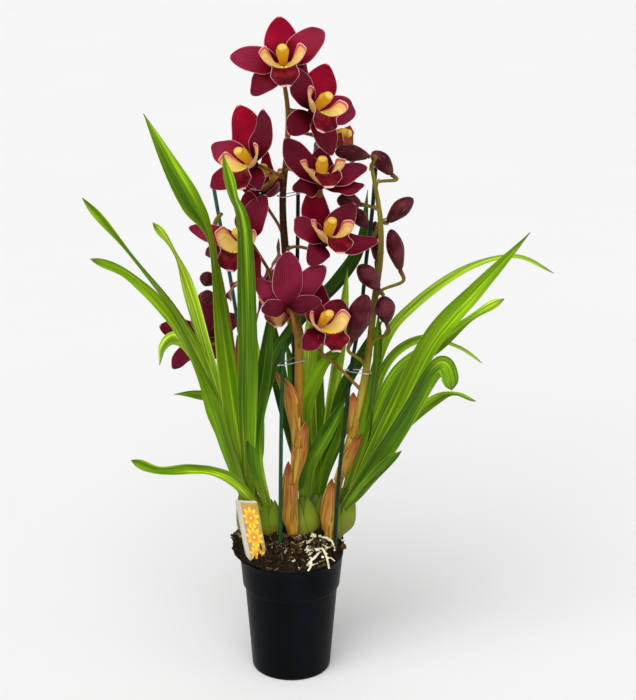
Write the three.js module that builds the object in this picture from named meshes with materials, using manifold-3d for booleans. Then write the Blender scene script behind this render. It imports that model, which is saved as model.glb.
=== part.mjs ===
// A Cymbidium orchid in a black nursery pot.
// Millimetres, +Z up, front towards -Y, origin under the pot's centre.
import * as THREE from 'three';
import { mergeVertices } from 'three/addons/utils/BufferGeometryUtils.js';
import Module from 'manifold-3d';

const wasm = await Module();
wasm.setup();

// ---------------------------------------------------------------- driving dimensions
const POT_RIM_RADIUS = 65;
const POT_HEIGHT = 158;
const POT_BASE_RADIUS = 49.4;
const POT_BAND_DEPTH = 36;
const POT_WALL = 1.8;
const POT_SIDES = 24;
const GAP = 0.3; // clearance between neighbouring pieces
const SOIL_TOP = 187;
const LEAF_THICKNESS = 0.9;
const LEAF_ROWS = 8;
const SHORT_LEAF_ROWS = 5; // for a leaf whose spine has four points or fewer
const BULB_STEPS = 4;
const BULB_SIDES = 9;
const TEPAL_LENGTH = 60;
const TEPAL_WIDTH = 31;
const TEPAL_THICKNESS = 0.8;
const LIP_THICKNESS = 0.8;
const SHEATH_THICKNESS = 0.8;
const HUB_RADIUS = 4.5;
const HUB_BACK = 3; // from a bloom's origin back to where its stalk ends
const HUB_FRONT = 3.4;
const SLIVER = 0.08; // corners closer to a face than this are merged into it
const STAKE_RADIUS = 2.4;
const HOLE_CLEARANCE = 0.9;
const TIE_RADIUS = 0.6;
const SEED = 20;

// ---------------------------------------------------------------- small helpers
const vector = ([x, y, z]) => new THREE.Vector3(x, y, z);
const mix = (a, b, t) => a + (b - a) * t;
const clamp01 = (t) => Math.min(1, Math.max(0, t));
const smooth = (t) => clamp01(t) ** 2 * (3 - 2 * clamp01(t));
const radians = THREE.MathUtils.degToRad;

// A repeatable random number in [0, 1) after each call.
function randomSource(seed) {
  let state = seed;
  return () => {
    state = (state * 16807) % 2147483647;
    return state / 2147483647;
  };
}

// The value at t of a list of evenly spaced values.
function along(values, t) {
  const place = clamp01(t) * (values.length - 1);
  const index = Math.min(values.length - 2, Math.floor(place));
  return mix(values[index], values[index + 1], place - index);
}

function spline(points) {
  const places = points.map((p) => (p.isVector3 ? p : vector(p)));
  return new THREE.CatmullRomCurve3(places, false, 'catmullrom', 0.5);
}

// A closed solid from points [x, y, z] and faces [a, b, c, ...] with three or more corners.
function solidFrom(points, faces) {
  const index = [];
  for (const face of faces) {
    for (let k = 2; k < face.length; k += 1) {
      index.push(face[0], face[k - 1], face[k]);
    }
  }
  const geometry = new THREE.BufferGeometry();
  geometry.setAttribute('position', new THREE.Float32BufferAttribute(points.flatMap((p) => p.toArray()), 3));
  geometry.setIndex(index);
  return solidOf(geometry);
}

// A manifold solid from a closed three.js geometry, turned outwards.
function solidOf(source) {
  const geometry = source.clone();
  geometry.deleteAttribute('normal');
  geometry.deleteAttribute('uv');
  const merged = mergeVertices(geometry, 1e-4);
  const position = Float32Array.from(merged.attributes.position.array);
  const corners = Uint32Array.from(merged.index.array);
  let volume = 0;
  const corner = (k) => new THREE.Vector3().fromArray(position, corners[k] * 3);
  for (let k = 0; k < corners.length; k += 3) {
    volume += corner(k).dot(corner(k + 1).cross(corner(k + 2)));
  }
  if (volume < 0) {
    for (let k = 0; k < corners.length; k += 3) {
      [corners[k], corners[k + 1]] = [corners[k + 1], corners[k]];
    }
  }
  return new wasm.Manifold(new wasm.Mesh({ numProp: 3, vertProperties: position, triVerts: corners }));
}

// Evenly spaced places from 0 to 1.
const evenly = (count) => [...Array(count + 1).keys()].map((k) => k / count);

const fuse = (solids) => solids.reduce((sum, solid) => sum.add(solid));

// The largest body of a solid, without loose scrap, sealed hollows or slivers.
function mainBody(solid) {
  const bodies = solid.simplify(SLIVER).decompose();
  return bodies.reduce((best, body) => (body.volume() > best.volume() ? body : best));
}

// A solid through rings of points, one ring after the other, closed at both ends.
function loft(rings) {
  const sides = rings[0].length;
  const faces = [];
  for (let ring = 0; ring + 1 < rings.length; ring += 1) {
    for (let k = 0; k < sides; k += 1) {
      const next = (k + 1) % sides;
      const low = ring * sides;
      const high = low + sides;
      faces.push([low + k, low + next, high + next], [low + k, high + next, high + k]);
    }
  }
  const last = (rings.length - 1) * sides;
  faces.push([...Array(sides).keys()].reverse());
  faces.push([...Array(sides).keys()].map((k) => last + k));
  return solidFrom(rings.flat(), faces);
}

// A round solid along a curve; radius(t) and flatten shape its section, across points to its wide side.
function tube(points, radius, { sides = 6, steps = 8, flatten = 1, across = [1, 0, 0] } = {}) {
  const curve = spline(points);
  const rings = [];
  for (let step = 0; step <= steps; step += 1) {
    const t = step / steps;
    const tangent = curve.getTangent(t);
    const back = new THREE.Vector3().crossVectors(tangent, vector(across)).normalize();
    const wide = new THREE.Vector3().crossVectors(back, tangent).normalize();
    const centre = curve.getPoint(t);
    const size = radius(t);
    rings.push([...Array(sides).keys()].map((k) => {
      const angle = (2 * Math.PI * (k + 0.5)) / sides;
      return centre.clone()
        .addScaledVector(wide, size * Math.cos(angle))
        .addScaledVector(back, size * flatten * Math.sin(angle));
    }));
  }
  return loft(rings);
}

// The directions square to a grid of points with the given number of points in a row.
function gridNormals(points, line) {
  const sums = points.map(() => new THREE.Vector3());
  const addTriangle = (a, b, c) => {
    const toB = points[b].clone().sub(points[a]);
    const toC = points[c].clone().sub(points[a]);
    const square = toB.cross(toC).normalize();
    [a, b, c].forEach((corner) => sums[corner].add(square));
  };
  for (let a = 0; a + line + 1 < points.length; a += 1) {
    if ((a + 1) % line > 0) {
      addTriangle(a, a + 1, a + line + 1);
      addTriangle(a, a + line + 1, a + line);
    }
  }
  return sums.map((sum) => sum.normalize());
}

// A thin curved sheet along a spine. face(t) is the side it shows, width(t) its full width, and arc(t)
// half the angle of its section, which is an arc: above 0 its edges lift towards the face. stations are the
// places of its rows. Both faces are split into triangles alike.
function blade(points, { width, face, thickness, arc, stations, columns = 2 }) {
  const curve = spline(points);
  const middles = [];
  const rows = stations.length - 1;
  for (const t of stations) {
    const tangent = curve.getTangent(t);
    const side = new THREE.Vector3().crossVectors(tangent, face(t)).normalize();
    const normal = new THREE.Vector3().crossVectors(side, tangent).normalize();
    const centre = curve.getPoint(t);
    const half = width(t) / 2;
    const angle = arc(t);
    for (let column = 0; column <= columns; column += 1) {
      const u = (2 * column) / columns - 1;
      const turn = u * angle;
      const flat = Math.abs(angle) < 1e-3;
      const across = flat ? u * half : (half * Math.sin(turn)) / angle;
      const lift = flat ? 0 : (half * (1 - Math.cos(turn))) / angle;
      middles.push(centre.clone().addScaledVector(side, across).addScaledVector(normal, lift));
    }
  }
  const normals = gridNormals(middles, columns + 1);
  const sheets = [thickness / 2, -thickness / 2].map((depth) => (
    middles.map((middle, k) => middle.clone().addScaledVector(normals[k], depth))));
  const count = sheets[0].length;
  const line = columns + 1;
  const faces = [];
  for (let row = 0; row < rows; row += 1) {
    for (let column = 0; column < columns; column += 1) {
      const a = row * line + column;
      const b = a + 1;
      const c = b + line;
      const d = a + line;
      faces.push([a, b, c], [a, c, d], [b + count, a + count, c + count], [c + count, a + count, d + count]);
    }
    const left = row * line;
    const right = left + columns;
    faces.push([left, left + line, left + line + count], [left, left + line + count, left + count]);
    faces.push([right, right + count, right + line + count], [right, right + line + count, right + line]);
  }
  for (let column = 0; column < columns; column += 1) {
    const end = rows * line + column;
    faces.push([column, column + count, column + 1 + count], [column, column + 1 + count, column + 1]);
    faces.push([end, end + 1, end + 1 + count], [end, end + 1 + count, end + count]);
  }
  return solidFrom(sheets.flat(), faces);
}

// ---------------------------------------------------------------- named meshes
const part = new THREE.Group();
part.name = 'potted_orchid';

function addPiece(name, solid, colour, roughness) {
  const mesh = mainBody(solid).getMesh();
  const geometry = new THREE.BufferGeometry();
  geometry.setAttribute('position', new THREE.BufferAttribute(Float32Array.from(mesh.vertProperties), 3));
  geometry.setIndex(Array.from(mesh.triVerts));
  geometry.computeVertexNormals();
  const material = new THREE.MeshStandardMaterial({ color: colour, roughness, metalness: 0 });
  const piece = new THREE.Mesh(geometry, material);
  piece.name = name;
  part.add(piece);
}

// ---------------------------------------------------------------- pot
const BAND_LOW = POT_HEIGHT - POT_BAND_DEPTH;
const BODY_TOP_RADIUS = 58.6;
const BAND_LOW_RADIUS = 61.4;
const FLOOR_THICKNESS = 2.8;
const innerWall = [
  [46.5, FLOOR_THICKNESS],
  [POT_BASE_RADIUS - POT_WALL, 5.5],
  [BODY_TOP_RADIUS - POT_WALL, BAND_LOW - 2.5],
  [BAND_LOW_RADIUS - POT_WALL, BAND_LOW + 2],
  [POT_RIM_RADIUS - POT_WALL - 0.4, POT_HEIGHT],
];

function potSolid() {
  const outside = [
    [46.5, 0],
    [48.8, 0.9],
    [POT_BASE_RADIUS, 3.4],
    [BODY_TOP_RADIUS, BAND_LOW - 1],
    [BAND_LOW_RADIUS, BAND_LOW],
    [POT_RIM_RADIUS - 0.4, POT_HEIGHT - 3],
    [POT_RIM_RADIUS, POT_HEIGHT - 1],
    [POT_RIM_RADIUS - 0.6, POT_HEIGHT],
  ];
  const inside = [...innerWall].reverse();
  const profile = [[0, 0], ...outside, ...inside, [0, FLOOR_THICKNESS]];
  const turned = new THREE.LatheGeometry(profile.map(([r, z]) => new THREE.Vector2(r, z)), POT_SIDES);
  turned.rotateX(Math.PI / 2);
  return solidOf(turned);
}

// ---------------------------------------------------------------- growing medium with its surface roots
// Rings above the rim: radius, height and how far a random draw moves each point.
const MOUND_RINGS = [
  [63.6, POT_HEIGHT + 0.8, 0],
  [64.6, 166, 1.6],
  [63.0, 175, 2.2],
  [56.0, 181.5, 2.4],
  [41.0, 185, 2.4],
  [22.0, SOIL_TOP, 2],
];
const LEFT_BULGE = 8; // the root ball stands out over the rim on its left
const CHUNK_COUNT = 9;

function moundHeight(radius) {
  for (let k = MOUND_RINGS.length - 1; k > 1; k -= 1) {
    const [inner, top] = MOUND_RINGS[k];
    const [outer, low] = MOUND_RINGS[k - 1];
    if (radius <= outer) {
      return mix(top, low, clamp01((radius - inner) / (outer - inner)));
    }
  }
  return MOUND_RINGS[1][1];
}

function ring(radius, height, sectors, change = () => [0, 0]) {
  return [...Array(sectors).keys()].map((k) => {
    const angle = (2 * Math.PI * k) / sectors;
    const [out, rise] = change(angle);
    return vector([(radius + out) * Math.cos(angle), (radius + out) * Math.sin(angle), height + rise]);
  });
}

function mediumSolid() {
  const random = randomSource(SEED);
  const inside = innerWall.map(([r, z]) => [r - GAP, z + GAP]);
  const rings = inside.map(([r, z]) => ring(r, z, POT_SIDES));
  MOUND_RINGS.forEach(([radius, height, jitter], level) => {
    const bulge = level === 0 ? 0.3 : 1;
    rings.push(ring(radius, height, POT_SIDES, (angle) => [
      bulge * LEFT_BULGE * Math.max(0, -Math.cos(angle)) ** 6 + (random() - 0.5) * 2 * jitter,
      (random() - 0.5) * 2 * jitter * (level > 1 ? 1 : 0.3),
    ]));
  });
  const pieces = [loft(rings)];
  for (let k = 0; k < CHUNK_COUNT; k += 1) {
    pieces.push(barkChunk(random));
  }
  for (const points of SURFACE_ROOTS) {
    pieces.push(tube(points, (t) => mix(2.2, 1.7, t), { sides: 4, steps: 2 }));
  }
  return fuse(pieces);
}

// An irregular lump of bark, more than half sunk in the mound.
function barkChunk(random) {
  const angle = 2 * Math.PI * random();
  const radius = 60 * Math.sqrt(random());
  const size = 3.5 + 4 * random();
  const chunk = new THREE.OctahedronGeometry(size, 0);
  chunk.scale(1.5, 1, 0.7);
  chunk.rotateZ(Math.PI * random());
  chunk.rotateX(random() - 0.5);
  chunk.translate(radius * Math.cos(angle), radius * Math.sin(angle), moundHeight(radius) + 0.15 * size);
  return solidOf(chunk);
}

// Fleshy roots that run over the root ball; both ends of each are sunk in it.
const SURFACE_ROOTS = [
  [[19, -17, 184], [26, -22, 189], [29, -30, 188], [26, -38, 181]],
  [[33, -22, 183], [42, -28, 187], [50, -33, 184], [53, -40, 175]],
  [[28, -29, 183], [23, -36, 187], [18, -43, 183], [13, -48, 176]],
  [[16, -44, 178], [25, -51, 181], [32, -50, 182], [38, -43, 180]],
  [[29, -38, 182], [38, -47, 181], [43, -55, 173], [46, -61, 161]],
  [[19, -48, 178], [23, -57, 175], [24, -63, 167], [20, -65, 160]],
  [[34, -50, 178], [28, -57, 174], [22, -61, 170], [18, -62, 164]],
  [[-4, -49, 178], [0, -55, 178], [6, -61, 171], [10, -64, 162]],
];

// ---------------------------------------------------------------- growths: pseudobulbs and their leaves
// Each bulb: spine points, radii along it, flatness of its section.
// Each leaf: spine points from the base to the tip, widest width, the side its face shows at the base and
// at the tip, and half the fold angle of its keel in degrees.
const FRONT = [0, -1, 0.25];
const FRONT_LEFT = [-0.5, -1, 0.4];
const FRONT_RIGHT = [0.5, -1, 0.4];
const UP_LEFT = [-0.5, -0.6, 0.8];
const UP_RIGHT = [0.5, -0.6, 0.8];
const UP = [0, -0.35, 1];

const GROWTHS = {
  growth_left: {
    bulbs: [
      { spine: [[-40, -2, 168], [-48, -2, 200], [-57, -2, 246]], radii: [8, 12, 12, 8], flatten: 0.75 },
      { spine: [[-31, -12, 168], [-30, -12, 196], [-26, -12, 232]], radii: [8, 11.5, 9.5, 4], flatten: 0.9 },
    ],
    leaves: [
      { spine: [[-53, -5, 212], [-68, -28, 330], [-81, -56, 460], [-93, -82, 582], [-112, -90, 626],
        [-134, -96, 672], [-161, -104, 729]],
        width: 27, faces: [FRONT, FRONT_RIGHT, [1, -0.12, 0.1], FRONT, FRONT_LEFT], fold: 16 },
      { spine: [[-51, -6, 214], [-52, -36, 340], [-51, -66, 456], [-54, -92, 590], [-65, -100, 638],
        [-75, -106, 686]],
        width: 24, faces: [FRONT, FRONT, FRONT_RIGHT, [1, -0.3, 0.2], FRONT_LEFT], fold: 16 },
      { spine: [[-55, -1, 214], [-72, -2, 285], [-92, 2, 380], [-121, 8, 491], [-142, 14, 545],
        [-164, 20, 574]],
        width: 17, faces: [FRONT, FRONT_LEFT, UP_LEFT], fold: 18 },
      { spine: [[-53, -4, 215], [-74, -22, 305], [-96, -26, 385], [-134, -32, 474], [-186, -40, 551],
        [-238, -48, 621]], width: 20, faces: [FRONT, UP_LEFT, UP_LEFT], fold: 18 },
      { spine: [[-52, -7, 215], [-76, -34, 305], [-104, -50, 398], [-140, -64, 482], [-185, -78, 537],
        [-226, -94, 562]], width: 22, faces: [FRONT, UP_LEFT, UP_LEFT], fold: 18 },
      { spine: [[-50, 4, 225], [-86, 26, 335], [-118, 38, 403], [-142, 46, 421], [-158, 50, 408],
        [-163, 54, 383]],
        width: 17, faces: [FRONT, FRONT_LEFT, UP_LEFT], fold: 0 },
      { spine: [[-50, 3, 222], [-66, 16, 300], [-92, 32, 342], [-118, 44, 348], [-146, 58, 343]],
        width: 15, faces: [FRONT, UP_LEFT, UP], fold: 0 },
      { spine: [[-34, -14, 212], [-66, -48, 268], [-91, -62, 288], [-121, -74, 297], [-156, -86, 301],
        [-187, -98, 319]], width: 16, faces: [FRONT, [0.2, -0.3, 1], FRONT], fold: 18 },
      { spine: [[-27, -14, 215], [-44, -27, 290], [-42, -29, 345], [-32, -26, 410], [-23, -18, 490]],
        width: 20, faces: [FRONT, FRONT, FRONT], fold: 18 },
      { spine: [[-50, 0, 222], [-40, 22, 330], [-20, 40, 395], [12, 56, 442], [58, 72, 487], [85, 84, 530],
        [93, 92, 596]], width: 20, faces: [FRONT, UP_LEFT, FRONT], fold: 18 },
      { spine: [[-50, 4, 220], [-46, 34, 290], [-46, 52, 345], [-42, 66, 412]],
        width: 25, faces: [FRONT, FRONT, FRONT], fold: 14 },
    ],
  },
  growth_centre: {
    bulbs: [
      { spine: [[15, -12, 168], [15, -12, 200], [13, -12, 236]], radii: [8, 12, 10, 5], flatten: 0.8 },
      { spine: [[24, 0, 168], [26, 0, 200], [31, 4, 232]], radii: [8, 12, 10, 5], flatten: 0.8 },
    ],
    leaves: [
      { spine: [[14, -12, 212], [15, -3, 290], [16, -4, 345], [26, -9, 380], [41, -14, 412], [58, -18, 423]],
        width: 19, faces: [FRONT, FRONT, UP_LEFT], fold: 16 },
      { spine: [[16, -10, 212], [20, -6, 269], [42, -6, 316], [66, 0, 360]],
        width: 18, faces: [FRONT, FRONT, FRONT], fold: 18 },
      { spine: [[32, 7, 208], [40, 8, 255], [62, 10, 313], [68, 12, 352]],
        width: 14, faces: [FRONT, FRONT, FRONT], fold: 20 },
      { spine: [[31, 9, 210], [22, 26, 330], [24, 38, 425], [38, 46, 516]],
        width: 18, faces: [FRONT, FRONT, FRONT], fold: 16 },
      { spine: [[33, 10, 210], [48, 24, 330], [60, 34, 422], [68, 42, 513]],
        width: 15, faces: [FRONT, FRONT, FRONT], fold: 16 },
      { spine: [[30, 10, 212], [16, 28, 315], [-6, 32, 420]],
        width: 20, faces: [FRONT, FRONT, FRONT], fold: 16 },
      { spine: [[29, 8, 212], [33, 30, 300], [30, 42, 395], [38, 44, 450]],
        width: 19, faces: [FRONT, FRONT, FRONT], fold: 0 },
      { spine: [[30, 8, 212], [2, 40, 300], [-18, 60, 380], [-26, 72, 452]],
        width: 21, faces: [FRONT, FRONT, FRONT], fold: 0 },
      { spine: [[31, 8, 212], [48, 18, 290], [62, 20, 360], [92, 18, 420], [110, 16, 455]],
        width: 15, faces: [FRONT, FRONT, FRONT], fold: 0 },
      { spine: [[30, 8, 212], [20, 48, 330], [4, 74, 430], [-14, 90, 500]],
        width: 18, faces: [FRONT, FRONT, FRONT], fold: 0 },
    ],
  },
  growth_right: {
    bulbs: [
      { spine: [[50, -4, 168], [57, -5, 200], [66, -6, 244]], radii: [8, 12, 12, 8], flatten: 0.8 },
    ],
    leaves: [
      { spine: [[62, -3, 215], [88, 3, 284], [99, 9, 349], [105, 13, 416], [104, 14, 463]],
        width: 14, faces: [FRONT, [-1, -0.4, 0], FRONT], fold: 18 },
      { spine: [[62, 0, 218], [84, 20, 310], [113, 34, 418], [150, 46, 464], [211, 58, 505], [272, 68, 519],
        [322, 76, 495]], width: 12, faces: [FRONT, UP_RIGHT, UP], fold: 0 },
      { spine: [[63, -8, 212], [91, -24, 271], [122, -38, 350], [163, -54, 452], [212, -66, 517],
        [269, -80, 589]], width: 25, faces: [FRONT, FRONT, FRONT_RIGHT], fold: 18 },
      { spine: [[64, -4, 215], [96, 4, 312], [128, 14, 384], [176, 24, 419], [220, 32, 453], [258, 38, 474]],
        width: 20, faces: [FRONT, UP_RIGHT, UP_RIGHT], fold: 18 },
      { spine: [[60, 4, 218], [88, 30, 300], [117, 48, 386], [160, 66, 413], [205, 78, 400], [240, 90, 373]],
        width: 11, faces: [FRONT, UP_RIGHT, UP], fold: 0 },
      { spine: [[62, -10, 214], [82, -40, 260], [111, -60, 316], [140, -78, 376], [162, -88, 424],
        [177, -95, 434], [184, -103, 408]],
        width: 24, faces: [FRONT, FRONT_RIGHT, FRONT_RIGHT], fold: 16 },
      { spine: [[62, 2, 214], [98, 34, 262], [140, 60, 300], [180, 76, 328], [206, 84, 334], [234, 92, 321]],
        width: 15, faces: [FRONT, UP_RIGHT, UP], fold: 0 },
      { spine: [[63, -9, 212], [84, -52, 262], [112, -68, 303], [130, -78, 323]],
        width: 14, faces: [FRONT, FRONT_RIGHT, FRONT_RIGHT], fold: 18 },
      { spine: [[64, -7, 214], [104, -16, 318], [140, -22, 400], [190, -28, 470], [228, -32, 520]],
        width: 14, faces: [FRONT, FRONT, FRONT_RIGHT], fold: 16 },
    ],
  },
};

// Width of a leaf at t as a share of its widest: narrow in the sheath, tapering to the tip.
function leafTaper(t) {
  const base = mix(0.35, 1, smooth(t / 0.3));
  const tip = t < 0.6 ? 1 : 1 - ((t - 0.6) / 0.4) ** 2.2;
  return base * Math.max(0.1, tip);
}

function facing(directions) {
  const sides = directions.map((d) => vector(d).normalize());
  return (t) => {
    const place = clamp01(t) * (sides.length - 1);
    const index = Math.min(sides.length - 2, Math.floor(place));
    return sides[index].clone().lerp(sides[index + 1], place - index).normalize();
  };
}

function leafSolid({ spine, width, faces, fold }) {
  return blade(spine, {
    width: (t) => width * leafTaper(t),
    face: facing(faces),
    thickness: LEAF_THICKNESS,
    arc: () => radians(fold),
    stations: evenly(spine.length > 4 ? LEAF_ROWS : SHORT_LEAF_ROWS),
    columns: fold > 0 ? 2 : 1,
  });
}

function bulbSolid({ spine, radii, flatten }) {
  return tube(spine, (t) => along(radii, t), { sides: BULB_SIDES, steps: BULB_STEPS, flatten });
}

// ---------------------------------------------------------------- flower stems
const STEMS = {
  stem_centre: {
    spine: [[1, -26, 166], [1, -26, 216], [7, -26, 328], [9, -25, 400], [8, -21, 450], [0, -17, 502],
      [-7, -11, 549], [-10, -4, 608], [-5, 1, 666], [-4, 0, 710], [-8, -6, 745]],
    radii: [5.8, 5.6, 5, 4.6, 3.4, 2.4],
    steps: 11,
    sheaths: [
      { from: 0.06, to: 0.165, side: [-1, -0.5, 0], opening: 2, width: 22 },
      { from: 0.14, to: 0.215, side: [1, -0.6, 0], opening: 4, width: 18 },
      { from: 0.18, to: 0.31, side: [-1, -0.4, 0], opening: 22, width: 21 },
    ],
  },
  stem_right: {
    spine: [[46, -24, 166], [48, -25, 207], [59, -26, 267], [73, -22, 324], [86, -16, 380], [93, -8, 425],
      [99, 0, 484], [105, 4, 532], [105, 4, 575], [101, 4, 605], [94, 5, 641]],
    radii: [5.2, 5, 4.6, 4, 3.2, 2.2],
    steps: 11,
    sheaths: [
      { from: 0.05, to: 0.2, side: [-1, -0.5, 0], opening: 4, width: 20 },
      { from: 0.19, to: 0.3, side: [1, -0.5, 0], opening: 6, width: 18 },
      { from: 0.29, to: 0.39, side: [-1, -0.4, 0], opening: 5, width: 17 },
    ],
  },
  stem_left: {
    spine: [[-52, 32, 166], [-56, 38, 250], [-76, 64, 420], [-94, 74, 525], [-92, 68, 560], [-84, 62, 574]],
    radii: [4.6, 4.2, 3.6, 2.2],
    steps: 9,
    sheaths: [{ from: 0.2, to: 0.4, side: [1, -0.4, 0], opening: 4, width: 17 }],
  },
};

// A papery sheath that wraps a stem and opens away from it towards its tip.
function sheathSolid(stem, { from, to, side, opening, width }) {
  const curve = spline(stem.spine);
  const outwards = vector(side).normalize();
  const reach = (t) => along(stem.radii, mix(from, to, t)) + mix(-0.8, 1.8, smooth(3 * t));
  const points = [0, 1 / 3, 2 / 3, 1].map((t) => (
    curve.getPoint(mix(from, to, t)).addScaledVector(outwards, reach(t) + opening * t ** 2.5)));
  const full = (t) => width * Math.max(0.12, Math.sqrt(1 - t ** 2.4));
  return blade(points, {
    width: full,
    face: () => outwards.clone().negate(),
    thickness: SHEATH_THICKNESS,
    arc: (t) => full(t) / 2 / (reach(t) + 0.8),
    stations: evenly(3),
    columns: 2,
  });
}

// The stalk of a bloom or bud: it leaves the stem, and arrives along the direction that its flower faces.
const STALK_RADII = [2.2, 1.8, 2, 2.7];
const STALK_ARRIVAL = 14; // the longest straight end of a stalk

function stalkSolid(stem, { joint, via }, end, direction) {
  const start = spline(stem.spine).getPoint(joint);
  const reach = 0.3 * start.distanceTo(end);
  const plain = start.clone().lerp(end, 0.3).add(new THREE.Vector3(0, 0, 0.12 * reach));
  const leave = via ? via.map(vector) : [plain];
  const arrive = end.clone().addScaledVector(direction, -Math.min(STALK_ARRIVAL, 1.2 * reach));
  const path = [start, ...leave, arrive, end];
  return tube(path, (t) => along(STALK_RADII, t), { sides: 5, steps: path.length - 1 });
}

// ---------------------------------------------------------------- blooms
// Where each bloom stands: the middle of its tepals, the way it faces (degrees to the right of the front and
// up), how far it leans to the right, and the place of its stalk along the stem.
const BLOOMS = {
  a1: { stem: 'stem_centre', joint: 1, at: [-9, -46, 771],
    azimuth: 0, elevation: 27, lean: -5,
    bend: { dorsal: { length: 54, width: 38 }, petalRight: { angle: 36, width: 34 },
      petalLeft: { angle: 166, width: 32 }, sepalLeft: { angle: 214, length: 46, tip: -14 },
      sepalRight: { angle: -30, length: 32, tip: -26 } } },
  a2: { stem: 'stem_centre', joint: 0.9, at: [23, -52, 721],
    azimuth: 30, elevation: 24, lean: 30,
    bend: { dorsal: { length: 58, width: 40, tip: 6 }, petalLeft: { angle: 144, length: 54, tip: 16 },
      petalRight: { width: 34, length: 54 }, sepalLeft: { angle: 240, length: 44, tip: 4 } } },
  a3: { stem: 'stem_centre', joint: 0.84, at: [34, 50, 671],
    azimuth: 75, elevation: -8, lean: 0,
    bend: { all: { plain: true } } },
  a4: { stem: 'stem_centre', joint: 0.76, at: [33, -52, 636],
    azimuth: 10, elevation: 54, lean: 0,
    bend: { dorsal: { angle: 82, length: 46, tip: 14 },
      petalLeft: { angle: 122, length: 66, width: 36, tip: 20 },
      petalRight: { angle: 20, length: 60, tip: 6 }, sepalLeft: { angle: 190, length: 34, tip: 2 },
      sepalRight: { angle: -6, length: 50, width: 22, tip: 4 } } },
  a5: { stem: 'stem_centre', joint: 0.6, at: [38, -50, 568],
    azimuth: 24, elevation: 44, lean: 8,
    bend: { dorsal: { angle: 96, length: 68, width: 36, tip: 20 },
      petalRight: { angle: 48, length: 58, tip: 18 }, petalLeft: { angle: 148, length: 44, tip: 14 },
      sepalRight: { angle: 0, length: 64, width: 28, tip: 8 },
      sepalLeft: { angle: 230, length: 28, tip: -14 } } },
  a6: { stem: 'stem_centre', joint: 0.36, via: [[9, -56, 458], [4, -80, 474]], at: [-4, -68, 494],
    azimuth: 196, elevation: 2, lean: 0,
    bend: { dorsal: { length: 70, tip: 2, width: 36 },
      petalRight: { angle: 44, length: 50, width: 24, tip: 16 },
      petalLeft: { angle: 134, length: 66, width: 32 },
      sepalRight: { angle: 10, length: 34, width: 22, tip: -6 },
      sepalLeft: { angle: 168, length: 40, width: 22 } } },
  a7: { stem: 'stem_centre', joint: 0.74, at: [-42, -40, 658],
    azimuth: -30, elevation: 20, lean: -22,
    bend: { dorsal: { length: 68, width: 46, tip: 14 },
      petalRight: { angle: 54, length: 62, width: 28, tip: 26 }, petalLeft: { angle: 144, length: 60 },
      sepalLeft: { angle: 188, length: 64 }, sepalRight: { angle: -92, length: 30, width: 22 } } },
  a8: { stem: 'stem_centre', joint: 0.62, at: [-32, 38, 604],
    azimuth: -12, elevation: 62, lean: 0,
    bend: { all: { length: 34, width: 22, rise: 14, tip: 40, plain: true } } },
  c1: { stem: 'stem_centre', joint: 0.44, at: [-52, -30, 563],
    azimuth: -22, elevation: 18, lean: 0,
    bend: { petalRight: { angle: 72 }, petalLeft: { angle: 172, length: 74, width: 22 },
      sepalLeft: { angle: 198, length: 60, width: 20, tip: -16 }, sepalRight: { angle: -70 } } },
  c2: { stem: 'stem_centre', joint: 0.38, at: [-26, 16, 496],
    azimuth: -100, elevation: 20, lean: 0,
    bend: { all: { plain: true } } },
  c4: { stem: 'stem_left', joint: 0.38, at: [-110, 84, 408],
    azimuth: 200, elevation: 10, lean: 0,
    bend: { all: { plain: true } } },
  b8: { stem: 'stem_right', joint: 0.39, via: [[57, -27, 408], [26, -22, 436]], at: [31, -42, 464],
    azimuth: 28, elevation: 26, lean: 6,
    bend: { dorsal: { tip: 16, length: 50, width: 36 }, petalRight: { angle: 36, length: 46 },
      petalLeft: { angle: 110, length: 36, width: 24, tip: -6 }, sepalRight: { length: 34 },
      sepalLeft: { angle: 236, length: 30, width: 24, tip: -10 } } },
};

// The five tepals: the angle they point to seen from the front, their length, width, how far they rise
// towards the front on the way and at the tip, and half the angle of their section.
const TEPALS = {
  dorsal: { angle: 90, length: TEPAL_LENGTH, width: TEPAL_WIDTH + 2, rise: 3, tip: 10, base: -1.2, arc: 12 },
  petalRight: { angle: 22, length: TEPAL_LENGTH, width: TEPAL_WIDTH, rise: 6, tip: 4, base: 1.8, arc: 10 },
  petalLeft: { angle: 158, length: TEPAL_LENGTH, width: TEPAL_WIDTH, rise: 6, tip: 4, base: 1.8, arc: 10 },
  sepalRight: { angle: -42, length: 54, width: 28, rise: 1, tip: -4, base: -1.2, arc: 12 },
  sepalLeft: { angle: 222, length: 54, width: 28, rise: 1, tip: -4, base: -1.2, arc: 12 },
};
const TEPAL_START = 2.6; // from the middle of the hub to a tepal's root, inside the hub
const TEPAL_STATIONS = [0, 0.22, 0.5, 0.8, 1];
const PLAIN_STATIONS = [0, 0.3, 0.75, 1];
const tepalTaper = (t) => Math.max(0.19, Math.sin(Math.PI * t) ** 0.6);

function tepalSolid({ angle, length, width, rise, tip, base, arc, plain = false }) {
  const heading = radians(angle);
  const place = (share, height) => new THREE.Vector3(
    length * share * Math.cos(heading),
    length * share * Math.sin(heading),
    height,
  );
  const points = [
    place(TEPAL_START / length, base),
    place(0.32, base + 0.6 * rise),
    place(0.65, base + rise),
    place(1, tip),
  ];
  return blade(points, {
    width: (t) => width * tepalTaper(t),
    face: () => new THREE.Vector3(0, 0, 1),
    thickness: TEPAL_THICKNESS,
    arc: () => radians(arc),
    stations: plain ? PLAIN_STATIONS : TEPAL_STATIONS,
  });
}

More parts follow.
